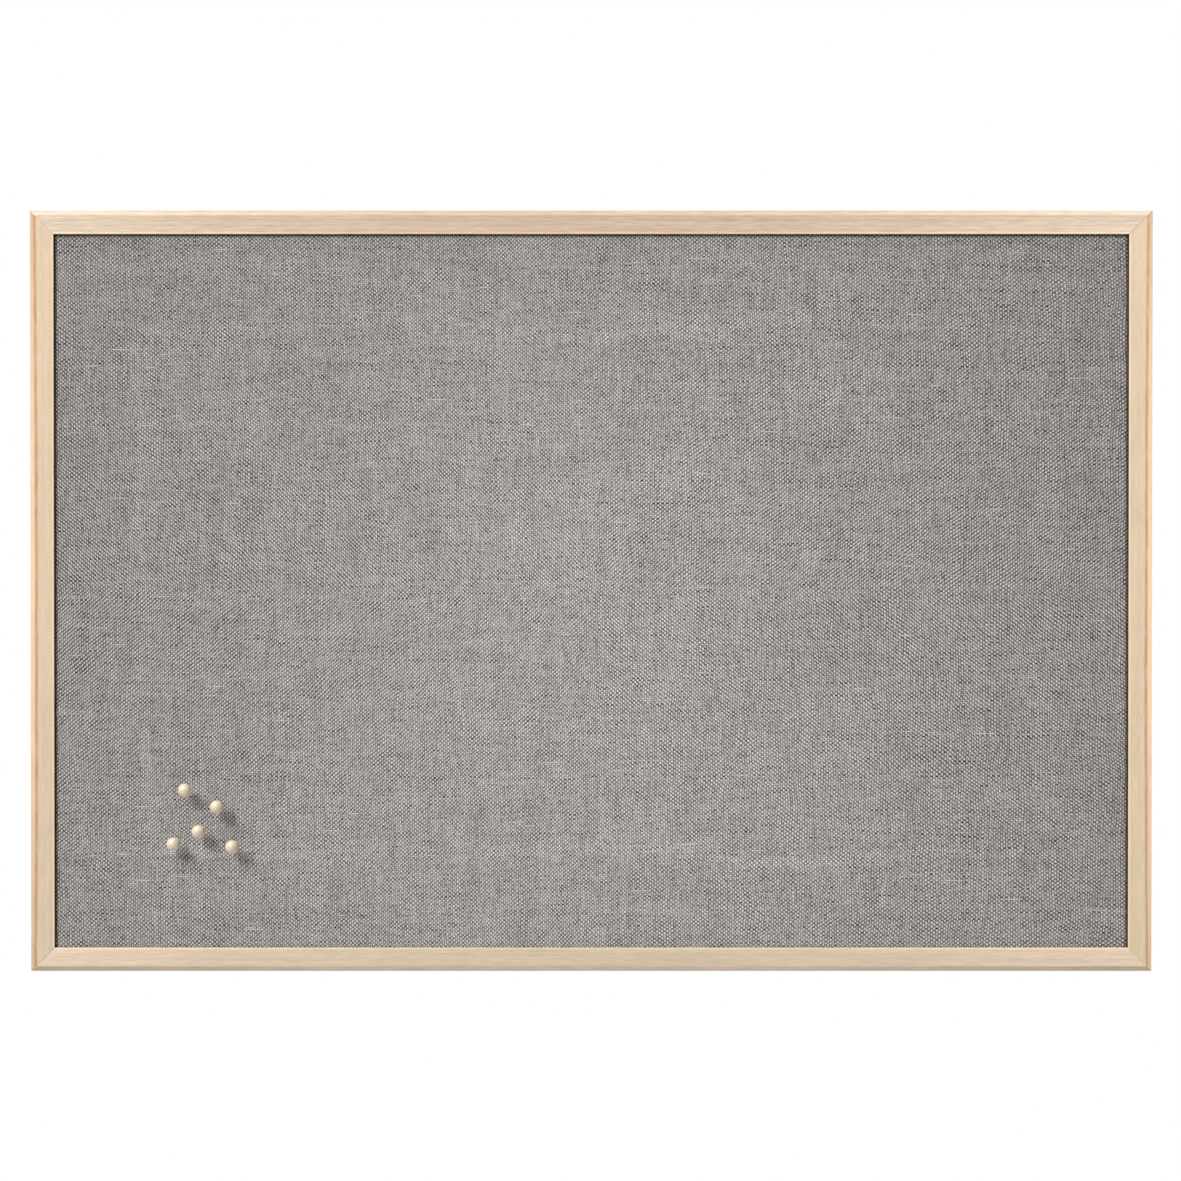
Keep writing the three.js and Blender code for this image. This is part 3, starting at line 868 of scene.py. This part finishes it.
def wrap_profile(linen):
    """Steps from the front face round the edge to the hem: how far out, Y, and the way
    along the cloth"""
    front, rear = linen_low.y, linen_high.y
    quarter = math.pi / 2
    depth = rear - front - 2 * EDGE_RADIUS
    flat = linen.hem_width - EDGE_RADIUS

    def front_bend(share):
        return (EDGE_RADIUS * math.sin(quarter * share),
                front + EDGE_RADIUS * (1 - math.cos(quarter * share)))

    def side(share):
        return EDGE_RADIUS, front + EDGE_RADIUS + depth * share

    def rear_bend(share):
        return (EDGE_RADIUS * math.cos(quarter * share),
                rear - EDGE_RADIUS * (1 - math.sin(quarter * share)))

    def hem(share):
        return -flat * share, rear

    steps, way = [], 0
    for place, count, length in (
            (front_bend, FILLET_STEPS, EDGE_RADIUS * quarter), (side, SIDE_STEPS, depth),
            (rear_bend, FILLET_STEPS, EDGE_RADIUS * quarter), (hem, HEM_STEPS, flat)):
        shares = [k / count for k in range(1, count + 1)]
        steps += [(*place(share), way + length * share) for share in shares]
        way += length
    return steps


def nearest(lines, place):
    """Which of the grid lines lies nearest to a place"""
    return min(range(len(lines)), key=lambda k: abs(lines[k] - place))


def hole_beside(i, j, centres):
    """The needle hole next to a grid place, if there is one"""
    near = [(i + a, j + b) for a in (-1, 0, 1) for b in (-1, 0, 1)]
    return next((centres[key] for key in near if key in centres), None)


def linen_mesh(linen, entries):
    """The outer surface of the cloth: vertices, faces, and each vertex's thread counts"""
    half_x, half_z = linen_high.x - EDGE_RADIUS, linen_high.z - EDGE_RADIUS
    columns = grid_lines(half_x, [entry.x for entry in entries], linen)
    rows = grid_lines(half_z, [entry.z for entry in entries], linen)
    vertices, counts, index = [], [], {}
    centres = {(nearest(columns, entry.x), nearest(rows, entry.z)): entry
               for entry in entries}

    def add(key, x, y, z, threads):
        index[key] = len(vertices)
        vertices.append((x, y, z))
        counts.append(threads)

    for i, x in enumerate(columns):
        for j, z in enumerate(rows):
            if (i, j) in centres:
                continue
            hole = hole_beside(i, j, centres)
            place = Vector((x, z))
            if hole:
                middle = Vector((hole.x, hole.z))
                place = middle + (place - middle).normalized() * HOLE_RADIUS
            add((i, j), place.x, linen_face(*place, linen, entries), place.y,
                thread_counts(*place, linen))

    faces = []
    for i in range(len(columns) - 1):
        for j in range(len(rows) - 1):
            corners = [(i, j), (i + 1, j), (i + 1, j + 1), (i, j + 1)]
            if not any(corner in centres for corner in corners):
                faces.append([index[corner] for corner in corners])

    border = border_of(len(columns), len(rows))
    ring = [index[key] for key in border]
    for step, (out, y, way) in enumerate(wrap_profile(linen)):
        next_ring = []
        for i, j in border:
            x, z = columns[i], rows[j]
            on_side = i in (0, len(columns) - 1)
            on_end = j in (0, len(rows) - 1)
            inset = CORNER_INSET if on_side and on_end and out > 0 else 0
            new_x = x * (half_x + out) / half_x - math.copysign(inset, x)
            new_z = z * (half_z + out) / half_z - math.copysign(inset, z)
            upright, level = thread_counts(new_x, new_z, linen)
            edge_upright, edge_level = thread_counts(x, z, linen)
            if on_side:
                upright = edge_upright + math.copysign(way, x) / linen.warp_pitch
            if on_end:
                level = edge_level + math.copysign(way, z) / linen.weft_pitch
            add((step, i, j), new_x, y, new_z, (upright, level))
            next_ring.append(index[step, i, j])
        for k in range(len(ring)):
            after = (k + 1) % len(ring)
            faces.append([ring[after], ring[k], next_ring[k], next_ring[after]])
        ring = next_ring
    return vertices, faces, counts


def set_map(mesh, counts):
    """Writes a UV map from one pair of numbers for each vertex"""
    layer = mesh.uv_layers.new(name=WEAVE_MAP)
    loops = np.empty(len(mesh.loops), int)
    mesh.loops.foreach_get("vertex_index", loops)
    layer.uv.foreach_set("vector", np.array(counts, np.float32)[loops].ravel())


def threads(tree, kind, along, crossing):
    """How far each thread of a set strays, how wide it is and its tone, all of which
    change along it"""
    first, second, third, fourth = kind["seeds"]
    stray = kind["stray"] * along(5, 7.13, first)
    width = kind["width"] + 0.05 * along(7, 5.37, second)
    tone = (1 + kind["drift"] * along(9, 3.1, third) + kind["batch"] * along(45, 3.7, fourth)
            + kind["chance"] * tree.chance(crossing))
    return stray, width, tone


def rounded(tree, off, width):
    """The height of a thread at a place off its middle line, where 1 is its ridge"""
    return tree.math("SQRT", tree.clamped(1 - (off * 2 / width) ** 2))


def weave(linen):
    """Plain weave: upright and level threads that pass over each other in turn"""
    material, tree, shader = new_material(
        "Linen weave", Roughness=0.92, Specular_IOR_Level=0.15, Sheen_Weight=0.08)
    x, _, z = place_of(tree)
    a, b, _ = tree.parts(tree.value("ShaderNodeUVMap", {"uv_map": WEAVE_MAP}))
    i, j = tree.math("FLOOR", a), tree.math("FLOOR", b)

    def flat_noise(across, up):
        return tree.noise(tree.vector(across, up), across="2D")

    def along_warp(run, apart, seed):
        """Noise along each upright thread, which starts afresh from thread to thread"""
        return flat_noise(i * apart + seed, b / run)

    def along_weft(run, apart, seed):
        return flat_noise(a / run, j * apart + seed)

    # Heights: the thread that is on top shows
    warp_stray, warp_width, warp_tone = threads(
        tree, WARP, along_warp, tree.vector(i, j, 1))
    weft_stray, weft_width, weft_tone = threads(
        tree, WEFT, along_weft, tree.vector(i, j, 2))
    over = 0.5 * tree.math("SINE", a * math.pi) * tree.math("SINE", b * math.pi)
    warp_height = rounded(tree, a - i - 0.5 - warp_stray, warp_width) * (0.5 + over)
    weft_height = rounded(tree, b - j - 0.5 - weft_stray, weft_width) * (0.57 - 0.86 * over)
    is_warp = tree.step(warp_height - weft_height, -0.055, 0.055)
    height = tree.math("MAXIMUM", warp_height, weft_height)

    # Painted shade and tone: the threads are painted darker where they dip and darker still
    # in the gaps between them, with fibres, slanting lines and long faint bars both ways
    fibre = 1 + 0.92 * tree.noise(tree.vector(a, b), scale=3.2, across="2D")
    painted_gap_shade = 0.5 + 0.5 * tree.step(height, 0.3, 0.75)
    twist = tree.math("COSINE", a * math.pi) * tree.math("COSINE", b * math.pi)
    bars = 1 + 0.045 * flat_noise(a / 70, b / 9) + 0.039 * flat_noise(a / 9 + 300, b / 70)
    shade = bars * painted_gap_shade * height ** 0.9 * (1 + skew(tree, x, z) * twist)
    warp = tree.scaled(linen.warp_colour, warp_tone)
    weft = tree.scaled(linen.weft_colour, tree.math("MAXIMUM", weft_tone, 0.1))
    colour = tree.scaled(tree.mix(is_warp, weft, warp), fibre * shade)

    # The palest spots are held back, and then painted shade darkens the whole away from its
    # middle and in the frame's shadow in the groove, and the creases are made paler
    _, level, _ = tree.parts(colour)
    excess = (tree.math("MAXIMUM", level, 0) / PALEST) ** 3
    held_back = LINEN_GAIN * (1 + excess) ** (-1 / 3)
    colour = tree.scaled(colour, held_back * painted_shade_tone(tree, x, z))

    # Pale yarn is a little cooler than dark yarn
    _, level, _ = tree.parts(colour)
    bright = level / USUAL_TONE + 0.05
    cooler = tree.vector(1.006 * bright ** -0.055, 1, bright ** 0.045)
    colour = tree.tinted(tree.tinted(colour, dye(tree, x, z)), cooler)
    feed(tree, shader, Base_Color=colour, Normal=tree.bump(height, 0.2 * MM, 0.35))
    return material


def shares_out(tree, x, z):
    """How far out a place lies across and up, where the frame's inner edge is 1"""
    return (tree.math("ABSOLUTE", x) / (sight_half_width / MM),
            tree.math("ABSOLUTE", z) / (sight_half_height / MM))


def skew(tree, x, z):
    """How far the twist of the yarn pulls the crossings into slanting lines, which
    lean the other way from one quarter of the board to the next"""
    wide, high = shares_out(tree, x, z)
    lean = ((tree.step(x, -LEAN_TURN, LEAN_TURN) * 2 - 1)
            * (tree.step(z, -LEAN_TURN, LEAN_TURN) * 2 - 1))
    return SKEW * lean * (0.5 + 0.6 * wide) * (1 - high)


def dye(tree, x, z):
    """Faint clouds of warmer and cooler grey, as a tint"""
    cloud = tree.noise(tree.vector(x, z), scale=0.15, detail=2, across="2D")
    warmth = tree.noise(tree.vector(x + 900, z), scale=0.12, detail=1, across="2D")
    return tree.vector(1 + 0.03 * cloud + 0.01 * warmth, 1 - 0.016 * cloud,
                       1 + 0.03 * cloud - 0.022 * warmth)


def creases(tree, x, z):
    """How strong the creases are at a place, from 0 to about 1"""
    wide, high = tree.math("ABSOLUTE", x), tree.math("ABSOLUTE", z)
    bend = tree.math("COSINE", x * (2 * math.pi / CREASE_BEND_LENGTH))
    middle = 1 - (wide / (sight_half_width / MM)) ** 2
    off_level = tree.math("ABSOLUTE", high - CREASE_HIGH + CREASE_BEND * bend * middle)
    sway = 3 * tree.noise(tree.vector(x / 90, z / 25), across="2D")
    off_upright = tree.math("ABSOLUTE", wide - CREASE_WIDE + sway)

    # Each fades beyond the corner where a level and an upright one meet
    level = ((1 - tree.step(off_level, 0, CREASE_HALF_WIDTH))
             * (1 - tree.step(wide, CREASE_WIDE - 10, CREASE_WIDE + 25)))
    upright = ((1 - tree.step(off_upright, 0, CREASE_HALF_WIDTH))
               * (1 - tree.step(high, CREASE_HIGH - 10, CREASE_HIGH + 20)))
    patchy = 0.8 + 0.35 * tree.noise(tree.vector(x / 22, z / 22), across="2D")
    return tree.math("MAXIMUM", level, upright) * tree.clamped(patchy)


def painted_shade_tone(tree, x, z):
    """Painted shade: how much darker the linen is painted away from its middle, where the
    light falls off, and in the frame's painted shadow in the groove along the top and the
    sides, and how much paler in its creases"""
    wide, high = shares_out(tree, x, z)
    sides = SIDES_PAINTED_SHADE * wide ** 1.15
    ends = ENDS_PAINTED_SHADE * high ** 1.3
    # painted falloff of the light towards the sides and ends
    away = 1 - tree.math("SQRT", sides * sides + ends * ends)
    from_side = sight_half_width / MM - tree.math("ABSOLUTE", x)
    from_top = sight_half_height / MM - z
    # painted shadow of the frame in the groove along the sides and the top
    side_groove_shadow = SIDE_GROOVE_PAINTED_SHADOW + (1 - SIDE_GROOVE_PAINTED_SHADOW) * tree.step(from_side, 0.4, 2.7)
    top_groove_shadow = TOP_GROOVE_PAINTED_SHADOW + (1 - TOP_GROOVE_PAINTED_SHADOW) * tree.step(from_top, 0.4, 2.4)
    return away * side_groove_shadow * top_groove_shadow * (1 + CREASE_TONE * creases(tree, x, z))


def yarn(linen):
    """The same yarn on the separate thick threads and loose fibres"""
    material, tree, shader = new_material(
        "Linen yarn", Roughness=0.92, Specular_IOR_Level=0.15, Sheen_Weight=0.08)
    x, y, z = place_of(tree)
    tone = tree.value("ShaderNodeAttribute", {"attribute_name": TONE}, output="Fac")
    fibre = tree.noise(tree.vector(x, y, z), scale=3.5, detail=2)
    shaded = tone * (1 + 0.18 * fibre)
    feed(tree, shader, Base_Color=tree.scaled(linen.warp_colour, shaded))
    feed(tree, shader, Normal=tree.bump(fibre, 0.04 * MM, 0.5))
    return material


def slub_paths(linen, entries):
    """Thick stretches of thread: points that weave in and out, with their thickness"""
    random = np.random.default_rng(7)
    vertices, edges, thickness, tone = [], [], [], []
    reach_x, reach_z = sight_half_width - SLUB_MARGIN, sight_half_height - SLUB_MARGIN
    lowest = (upright_count(-reach_x, linen), -reach_z / linen.weft_pitch)
    highest = (upright_count(reach_x, linen), reach_z / linen.weft_pitch)
    for upright_thread in (True, False):
        along, across = (1, 0) if upright_thread else (0, 1)
        for _ in range(linen.slub_count):
            thread = math.floor(random.uniform(lowest[across], highest[across])) + 0.5
            length = random.uniform(*SLUB_LENGTHS)
            start = random.uniform(lowest[along], highest[along] - length)
            fullness = random.uniform(*SLUB_FULLNESS)
            shade = random.choice(SLUB_TONES)
            steps = round(length * SLUB_STEPS)
            for k in range(steps + 1):
                share = k / steps
                other = start + length * share
                upright, level = (thread, other) if upright_thread else (other, thread)
                over = math.sin(upright * math.pi) * math.sin(level * math.pi)
                lift = (over if upright_thread else -over) * SLUB_RISE - SLUB_SINK
                x, z = thread_place(upright, level, linen)
                if k:
                    edges.append((len(vertices) - 1, len(vertices)))
                vertices.append((x, linen_face(x, z, linen, entries) - lift, z))
                taper = math.sin(math.pi * min(max(share, 0.02), 0.98)) ** 0.6
                thickness.append(SLUB_RADIUS * fullness * taper)
                tone.append(shade)
    return vertices, edges, thickness, tone


def set_attribute(mesh, name, values):
    """Writes one number for each vertex"""
    attribute = mesh.attributes.new(name, "FLOAT", "POINT")
    attribute.data.foreach_set("value", np.array(values, np.float32))


def node_group(name, inputs):
    """An empty Geometry Nodes tree with a geometry socket and named inputs"""
    group = bpy.data.node_groups.new(name, "GeometryNodeTree")
    face = group.interface
    face.new_socket("Geometry", in_out="INPUT", socket_type="NodeSocketGeometry")
    face.new_socket("Geometry", in_out="OUTPUT", socket_type="NodeSocketGeometry")
    for label, kind in inputs.items():
        face.new_socket(label, in_out="INPUT", socket_type="NodeSocket" + kind)
    tree = Tree(group)
    entry = tree.node("NodeGroupInput")
    sockets = {output.name: Value(tree, output) for output in entry.outputs if output.name}
    return group, tree, sockets


def end_group(tree, geometry, material):
    """Ends a tree in plain mesh with its material"""
    real = tree.value("GeometryNodeRealizeInstances", inputs={0: geometry})
    smooth = tree.value("GeometryNodeSetShadeSmooth", inputs={0: real})
    inputs = {"Geometry": smooth, "Material": material}
    painted = tree.value("GeometryNodeSetMaterial", inputs=inputs)
    tree.node("NodeGroupOutput", inputs={0: painted})


def run_group(obj, group, values):
    """Puts a tree on an object with its inputs set, and turns the result into mesh"""
    modifier = obj.modifiers.new(group.name, "NODES")
    modifier.node_group = group
    for item in group.interface.items_tree:
        if item.in_out == "INPUT" and item.name in values:
            modifier[item.identifier] = values[item.name]
    return finished(obj)


def swept_group():
    """Round stock swept along the object's own edges, as thick as each point says"""
    group, tree, given = node_group(
        "Swept along a path", {"Sides": "Int", "Material": "Material"})
    thick = tree.value("GeometryNodeInputNamedAttribute", {"data_type": "FLOAT"},
                       {"Name": THICKNESS})
    curve = tree.value("GeometryNodeMeshToCurve", inputs={0: given["Geometry"]})
    ring = tree.value("GeometryNodeCurvePrimitiveCircle",
                      inputs={"Resolution": given["Sides"], "Radius": 1.0})
    inputs = {"Curve": curve, "Profile Curve": ring, "Scale": thick, "Fill Caps": True}
    swept = tree.value("GeometryNodeCurveToMesh", inputs=inputs)
    end_group(tree, swept, given["Material"])
    return group


def fuzz_group():
    """Short bent fibres scattered over a surface"""
    group, tree, given = node_group("Loose fibres", {
        "Density": "Float", "Length": "Float", "Height": "Float", "Thickness": "Float",
        "Seed": "Int", "Material": "Material"})
    spread = tree.node("GeometryNodeDistributePointsOnFaces", inputs={
        "Mesh": given["Geometry"], "Density": given["Density"], "Seed": given["Seed"]})
    middle = tree.vector(given["Length"] * 0.5, given["Length"] * 0.3, given["Height"] * 2)
    end = tree.vector(given["Length"], 0, given["Height"] * 0.5)
    bow = tree.value("GeometryNodeCurveQuadraticBezier", inputs={
        "Resolution": 5, "Start": (0, 0, 0), "Middle": middle, "End": end})
    ring = tree.value("GeometryNodeCurvePrimitiveCircle",
                      inputs={"Resolution": 3, "Radius": given["Thickness"]})
    fibre = tree.value("GeometryNodeCurveToMesh", inputs={
        "Curve": bow, "Profile Curve": ring, "Fill Caps": True})
    turn = tree.value("FunctionNodeRandomValue", {"data_type": "FLOAT"}, {
        2: 0.0, 3: 2 * math.pi, "Seed": given["Seed"]}, output=1)
    twist = tree.value("FunctionNodeRotateRotation", {"rotation_space": "LOCAL"}, {
        0: Value(tree, spread.outputs["Rotation"]),
        1: tree.value("FunctionNodeAxisAngleToRotation", inputs={
            "Axis": (0, 0, 1), "Angle": turn})})
    size = tree.value("FunctionNodeRandomValue", {"data_type": "FLOAT"}, {
        2: 0.4, 3: 1.0, "Seed": given["Seed"] + 1}, output=1)
    placed = tree.value("GeometryNodeInstanceOnPoints", inputs={
        "Points": Value(tree, spread.outputs["Points"]), "Instance": fibre,
        "Rotation": twist, "Scale": tree.vector(size, size, size)})
    toned = tree.value("GeometryNodeStoreNamedAttribute", {
        "data_type": "FLOAT", "domain": "INSTANCE"}, {
        "Geometry": placed, "Name": TONE, "Value": FUZZ_TONE})
    end_group(tree, toned, given["Material"])
    return group


class PINBOARD_OT_linen(bpy.types.Operator):
    """Makes the linen that is stretched over the board, its thick threads and its fuzz"""

    bl_idname = "pinboard.linen"
    bl_label = "Linen"

    def execute(self, context):
        linen = settings_of(context, "linen")
        entries = [needle_line(pin)[0] for pin in pin_names]
        vertices, faces, counts = linen_mesh(linen, entries)
        sheet = new_object("linen_sheet", vertices, faces, material=weave(linen))
        set_map(sheet.data, counts)
        wall = sheet.modifiers.new("thickness", "SOLIDIFY")
        wall.thickness = linen.thickness
        wall.offset = -1
        wall.use_even_offset = True
        finished(sheet)
        add_part(sheet, "board", "linen", "linen_cover")

        thread = yarn(linen)
        vertices, edges, thickness, tone = slub_paths(linen, entries)
        slubs = new_object("linen_slubs", vertices, edges=edges)
        set_attribute(slubs.data, THICKNESS, thickness)
        set_attribute(slubs.data, TONE, tone)
        run_group(slubs, swept_group(), {"Sides": 5, "Material": thread})
        add_part(slubs, "board", "linen")

        fuzz = new_object("linen_fuzz", *self.open_grid(linen, entries))
        run_group(fuzz, fuzz_group(), {
            "Density": linen.fuzz_density, "Length": FUZZ_LENGTH, "Height": FUZZ_HEIGHT,
            "Thickness": FUZZ_THICKNESS, "Seed": 11, "Material": thread})
        add_part(fuzz, "board", "linen")
        self.declare(sheet, [slubs, fuzz], linen)
        return {"FINISHED"}

    def open_grid(self, linen, entries):
        """A coarse copy of the face of the cloth inside the frame"""
        half_x, half_z = sight_half_width - FUZZ_MARGIN, sight_half_height - FUZZ_MARGIN
        columns = np.linspace(-half_x, half_x, FUZZ_COLUMNS)
        rows = np.linspace(-half_z, half_z, FUZZ_ROWS)
        vertices = [(x, linen_face(x, z, linen, entries), z) for x in columns for z in rows]
        faces = []
        for i in range(FUZZ_COLUMNS - 1):
            for j in range(FUZZ_ROWS - 1):
                here, beside = i * FUZZ_ROWS + j, (i + 1) * FUZZ_ROWS + j
                faces.append((here, beside, beside + 1, here + 1))
        return vertices, faces

    def declare(self, sheet, extras, linen):
        """Does nothing"""


# Boards

SCREEN_WAVES = 4.6  # radians to the millimetre in the print of the wire screen


def hardboard(boards):
    """Brown pressed board with the print of the wire screen on its rough side"""
    material, tree, shader = new_material("Hardboard", Roughness=0.72)
    x, y, z = place_of(tree)
    waves = tree.math("SINE", x * SCREEN_WAVES) * tree.math("SINE", z * SCREEN_WAVES)
    fleck = tree.noise(tree.vector(x, y, z), scale=1.7, detail=4)
    fibre = tree.noise(tree.vector(x / 2.4, y, z / 0.7), scale=0.9, detail=3)
    cloud = tree.noise(tree.vector(x, y, z), scale=0.025, detail=2)
    tone = 1 + 0.17 * fleck + 0.12 * fibre + 0.06 * cloud + 0.1 * waves
    is_fleck = tree.step(fleck, 0.5, 1.3)
    colour = tree.mix(is_fleck * 0.5, boards.back_colour, boards.fleck_colour)
    feed(tree, shader, Base_Color=tree.scaled(colour, tone))
    feed(tree, shader, Roughness=0.7 + 0.08 * fleck)
    relief = waves * 0.6 + fibre * 0.25
    feed(tree, shader, Normal=tree.bump(relief, 0.12 * MM, 0.6))
    return material


def fibreboard(boards):
    """Raw soft board, matted from wood fibres"""
    material, tree, shader = new_material("Soft fibreboard", Roughness=0.95)
    x, y, z = place_of(tree)
    mat = tree.noise(tree.vector(x, y, z), scale=0.9, detail=5)
    cloud = tree.noise(tree.vector(x, y, z), scale=0.06, detail=2)
    tone = 1 + 0.16 * mat + 0.06 * cloud
    feed(tree, shader, Base_Color=tree.scaled(boards.core_colour, tone))
    feed(tree, shader, Normal=tree.bump(mat, 0.15 * MM, 0.7))
    return material


class PINBOARD_OT_boards(bpy.types.Operator):
    """Gives the soft core and the hardboard back their finish"""

    bl_idname = "pinboard.boards"
    bl_label = "Boards"

    def execute(self, context):
        boards = settings_of(context, "boards")
        dress(["core_board"], fibreboard(boards))
        dress(["back_board"], hardboard(boards))
        return {"FINISHED"}


# Pins

HEAD_STEPS = 28
HEAD_SIDES = 56
HEAD_UNEVEN = 0.012  # how far a head is from a true ball, as a share of its radius
HEAD_UNEVEN_LENGTH = 4 * MM
HOLE_BEVEL = 0.15 * MM


def turned_wood(pins):
    """Pale close-grained wood, turned smooth"""
    material, tree, shader = new_material("Turned pale wood", Specular_IOR_Level=0.9)
    x, y, z = place_of(tree)

    # The rings cross the ball at a slant
    drift = tree.noise(tree.vector(x, y, z), scale=0.16) * 0.7
    ring = tree.math("FRACT", (x * 0.62 + z * 0.45 + drift) * 0.62)
    line = tree.step(ring, 0.45, 0.85) * (1 - tree.step(ring, 0.88, 1.0))
    fibre = tree.noise(tree.vector(x / 0.25, y / 4, z / 0.25), detail=1)
    mottle = tree.noise(tree.vector(x, y, z), scale=0.9, detail=2)
    tone = 1 + 0.03 * fibre + 0.05 * mottle - 0.05 * line
    late = [c * s for c, s in zip(pins.colour, (0.95, 0.88, 0.78))]
    colour = tree.mix(line * 0.5, pins.colour, late)
    feed(tree, shader, Base_Color=tree.scaled(colour, tone))
    feed(tree, shader, Roughness=0.41 + 0.05 * fibre)
    feed(tree, shader, Normal=tree.bump(fibre * 0.5 + mottle, 0.05 * MM, 0.6))
    return material


def head_profile(radius, pins):
    """The outline of a head from its crown to the bottom of its hole"""
    start = math.asin(pins.flat_radius / radius)
    low = -radius * math.cos(start)
    points = []
    for k in range(1, HEAD_STEPS + 1):
        angle = (math.pi - start) * k / HEAD_STEPS
        points.append((radius * math.sin(angle), radius * math.cos(angle)))
    rim = pins.hole_radius
    points += [(rim + HOLE_BEVEL, low), (rim, low + HOLE_BEVEL),
               (rim, low + pins.hole_depth)]
    return (0, radius), points, (0, low + pins.hole_depth + rim * 0.5)


def head_mesh(radius, pins, seed):
    """A turned ball, a little uneven, with its axis along Z"""
    top, outline, bottom = head_profile(radius, pins)
    vertices = [(0, 0, top[1])]
    for distance, height in outline:
        for k in range(HEAD_SIDES):
            angle = 2 * math.pi * k / HEAD_SIDES
            point = Vector((distance * math.cos(angle), distance * math.sin(angle), height))
            uneven = noise.noise(point / HEAD_UNEVEN_LENGTH + Vector((seed, 0, 0)))
            vertices.append(point * (1 + HEAD_UNEVEN * uneven))
    vertices.append((0, 0, bottom[1]))
    faces = [(0, 1 + k, 1 + (k + 1) % HEAD_SIDES) for k in range(HEAD_SIDES)]
    for ring in range(len(outline) - 1):
        first = 1 + ring * HEAD_SIDES
        for k in range(HEAD_SIDES):
            after = (k + 1) % HEAD_SIDES
            faces.append((first + k, first + HEAD_SIDES + k,
                          first + HEAD_SIDES + after, first + after))
    first, last = 1 + (len(outline) - 1) * HEAD_SIDES, len(vertices) - 1
    faces += [(first + k, last, first + (k + 1) % HEAD_SIDES) for k in range(HEAD_SIDES)]
    return vertices, faces


class PINBOARD_OT_pins(bpy.types.Operator):
    """Makes the turned heads of the ball pins and gives the needles their steel"""

    bl_idname = "pinboard.pins"
    bl_label = "Ball Pins"

    def execute(self, context):
        pins = settings_of(context, "pins")
        wood = turned_wood(pins)
        steel = brushed_metal("Needle steel", settings_of(context, "hangers").steel, 0.25, 0.0)
        heads = []
        for number, pin in enumerate(pin_names):
            _, axis, middle, radius = needle_line(pin)
            head = new_object(pin + "_ball", *head_mesh(radius, pins, number), material=wood)
            turn = axis.to_track_quat("Z", "X").to_matrix().to_4x4()
            head.data.transform(Matrix.Translation(middle) @ turn)
            add_part(head, pin, "pin_wood", pin + "_head")
            dress([pin + "_needle"], steel)
            heads.append(head)
        limit_lamp(PIN_LAMP, heads, "INCLUDE")
        for lamp in KEY_LAMPS:
            limit_lamp(lamp, heads, "EXCLUDE")
        return {"FINISHED"}


# Hangers

ARC_STEP = math.radians(7)


def arc(middle, radius, start, end):
    """Points on an arc, in the plane of the board"""
    count = max(2, math.ceil(abs(end - start) / ARC_STEP))
    angles = [start + (end - start) * k / count for k in range(count + 1)]
    return [(middle[0] + radius * math.cos(a), middle[1] + radius * math.sin(a))
            for a in angles]


def ring_path(node, hangers):
    """The middle line of a D-ring's wire, and the wire's radius"""
    low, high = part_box(node)
    wire = (high.y - low.y) / 2
    middle = (low.x + high.x) / 2
    half = (high.x - low.x) / 2 - wire
    top, bottom = high.z - wire, low.z + wire
    bend, gap = hangers.bend_radius, hangers.butt_gap / 2
    right = half - bend
    quarter = math.pi / 2
    flat = [(gap, top), (right / 2, top)]
    flat += arc((right, top - bend), bend, quarter, 0)
    flat += arc((0, bottom + half), half, 0, -2 * quarter)
    flat += arc((-right, top - bend), bend, 2 * quarter, quarter)
    flat += [(-right / 2, top), (-gap, top)]
    return [(middle + x, (low.y + high.y) / 2, z) for x, z in flat], wire


class PINBOARD_OT_hangers(bpy.types.Operator):
    """Makes the round D-rings and gives the straps and rivets their nickel"""

    bl_idname = "pinboard.hangers"
    bl_label = "Hangers"

    def execute(self, context):
        hangers = settings_of(context, "hangers")
        nickel = brushed_metal("Nickel plate", hangers.nickel, 0.3, 0.08)
        group = swept_group()
        for side in hanger_sides:
            node = side + "_hanger_ring"
            points, wire = ring_path(node, hangers)
            edges = [(k, k + 1) for k in range(len(points) - 1)]
            ring = new_object(side + "_round_ring", points, edges=edges)
            set_attribute(ring.data, THICKNESS, [wire] * len(points))
            run_group(ring, group, {"Sides": 24, "Material": nickel})
            add_part(ring, side + "_ring", "hanger_nickel", node)
            dress([side + "_hanger_strap", side + "_hanger_rivet"], nickel)
        return {"FINISHED"}


class PINBOARD_PT_panel(bpy.types.Panel):
    """Lists the settings and the steps"""

    bl_label = "Linen Pinboard"
    bl_space_type = "VIEW_3D"
    bl_region_type = "UI"
    bl_category = "Pinboard"

    def draw(self, context):
        for name, group in SETTINGS.items():
            box = self.layout.box()
            box.label(text=name.capitalize())
            for key in group.__annotations__:
                box.prop(settings_of(context, name), key)
        for operator in OPERATORS:
            self.layout.operator(operator.bl_idname)


SETTINGS = {
    "stage": StageSettings, "wood": WoodSettings, "linen": LinenSettings,
    "boards": BoardSettings, "pins": PinSettings, "hangers": HangerSettings,
}
OPERATORS = (
    PINBOARD_OT_stage, PINBOARD_OT_frame, PINBOARD_OT_linen, PINBOARD_OT_boards,
    PINBOARD_OT_pins, PINBOARD_OT_hangers,
)


def register():
    for kind in (*SETTINGS.values(), *OPERATORS, PINBOARD_PT_panel):
        bpy.utils.register_class(kind)
    for name, group in SETTINGS.items():
        setattr(bpy.types.Scene, "pinboard_" + name, bpy.props.PointerProperty(type=group))


def unregister():
    for name in SETTINGS:
        delattr(bpy.types.Scene, "pinboard_" + name)
    for kind in (PINBOARD_PT_panel, *reversed(OPERATORS), *SETTINGS.values()):
        bpy.utils.unregister_class(kind)


def main():
    register()
    bpy.ops.pinboard.stage()
    bpy.ops.pinboard.frame()
    bpy.ops.pinboard.linen()
    bpy.ops.pinboard.boards()
    bpy.ops.pinboard.pins()
    bpy.ops.pinboard.hangers()


if __name__ == "__main__":
    main()
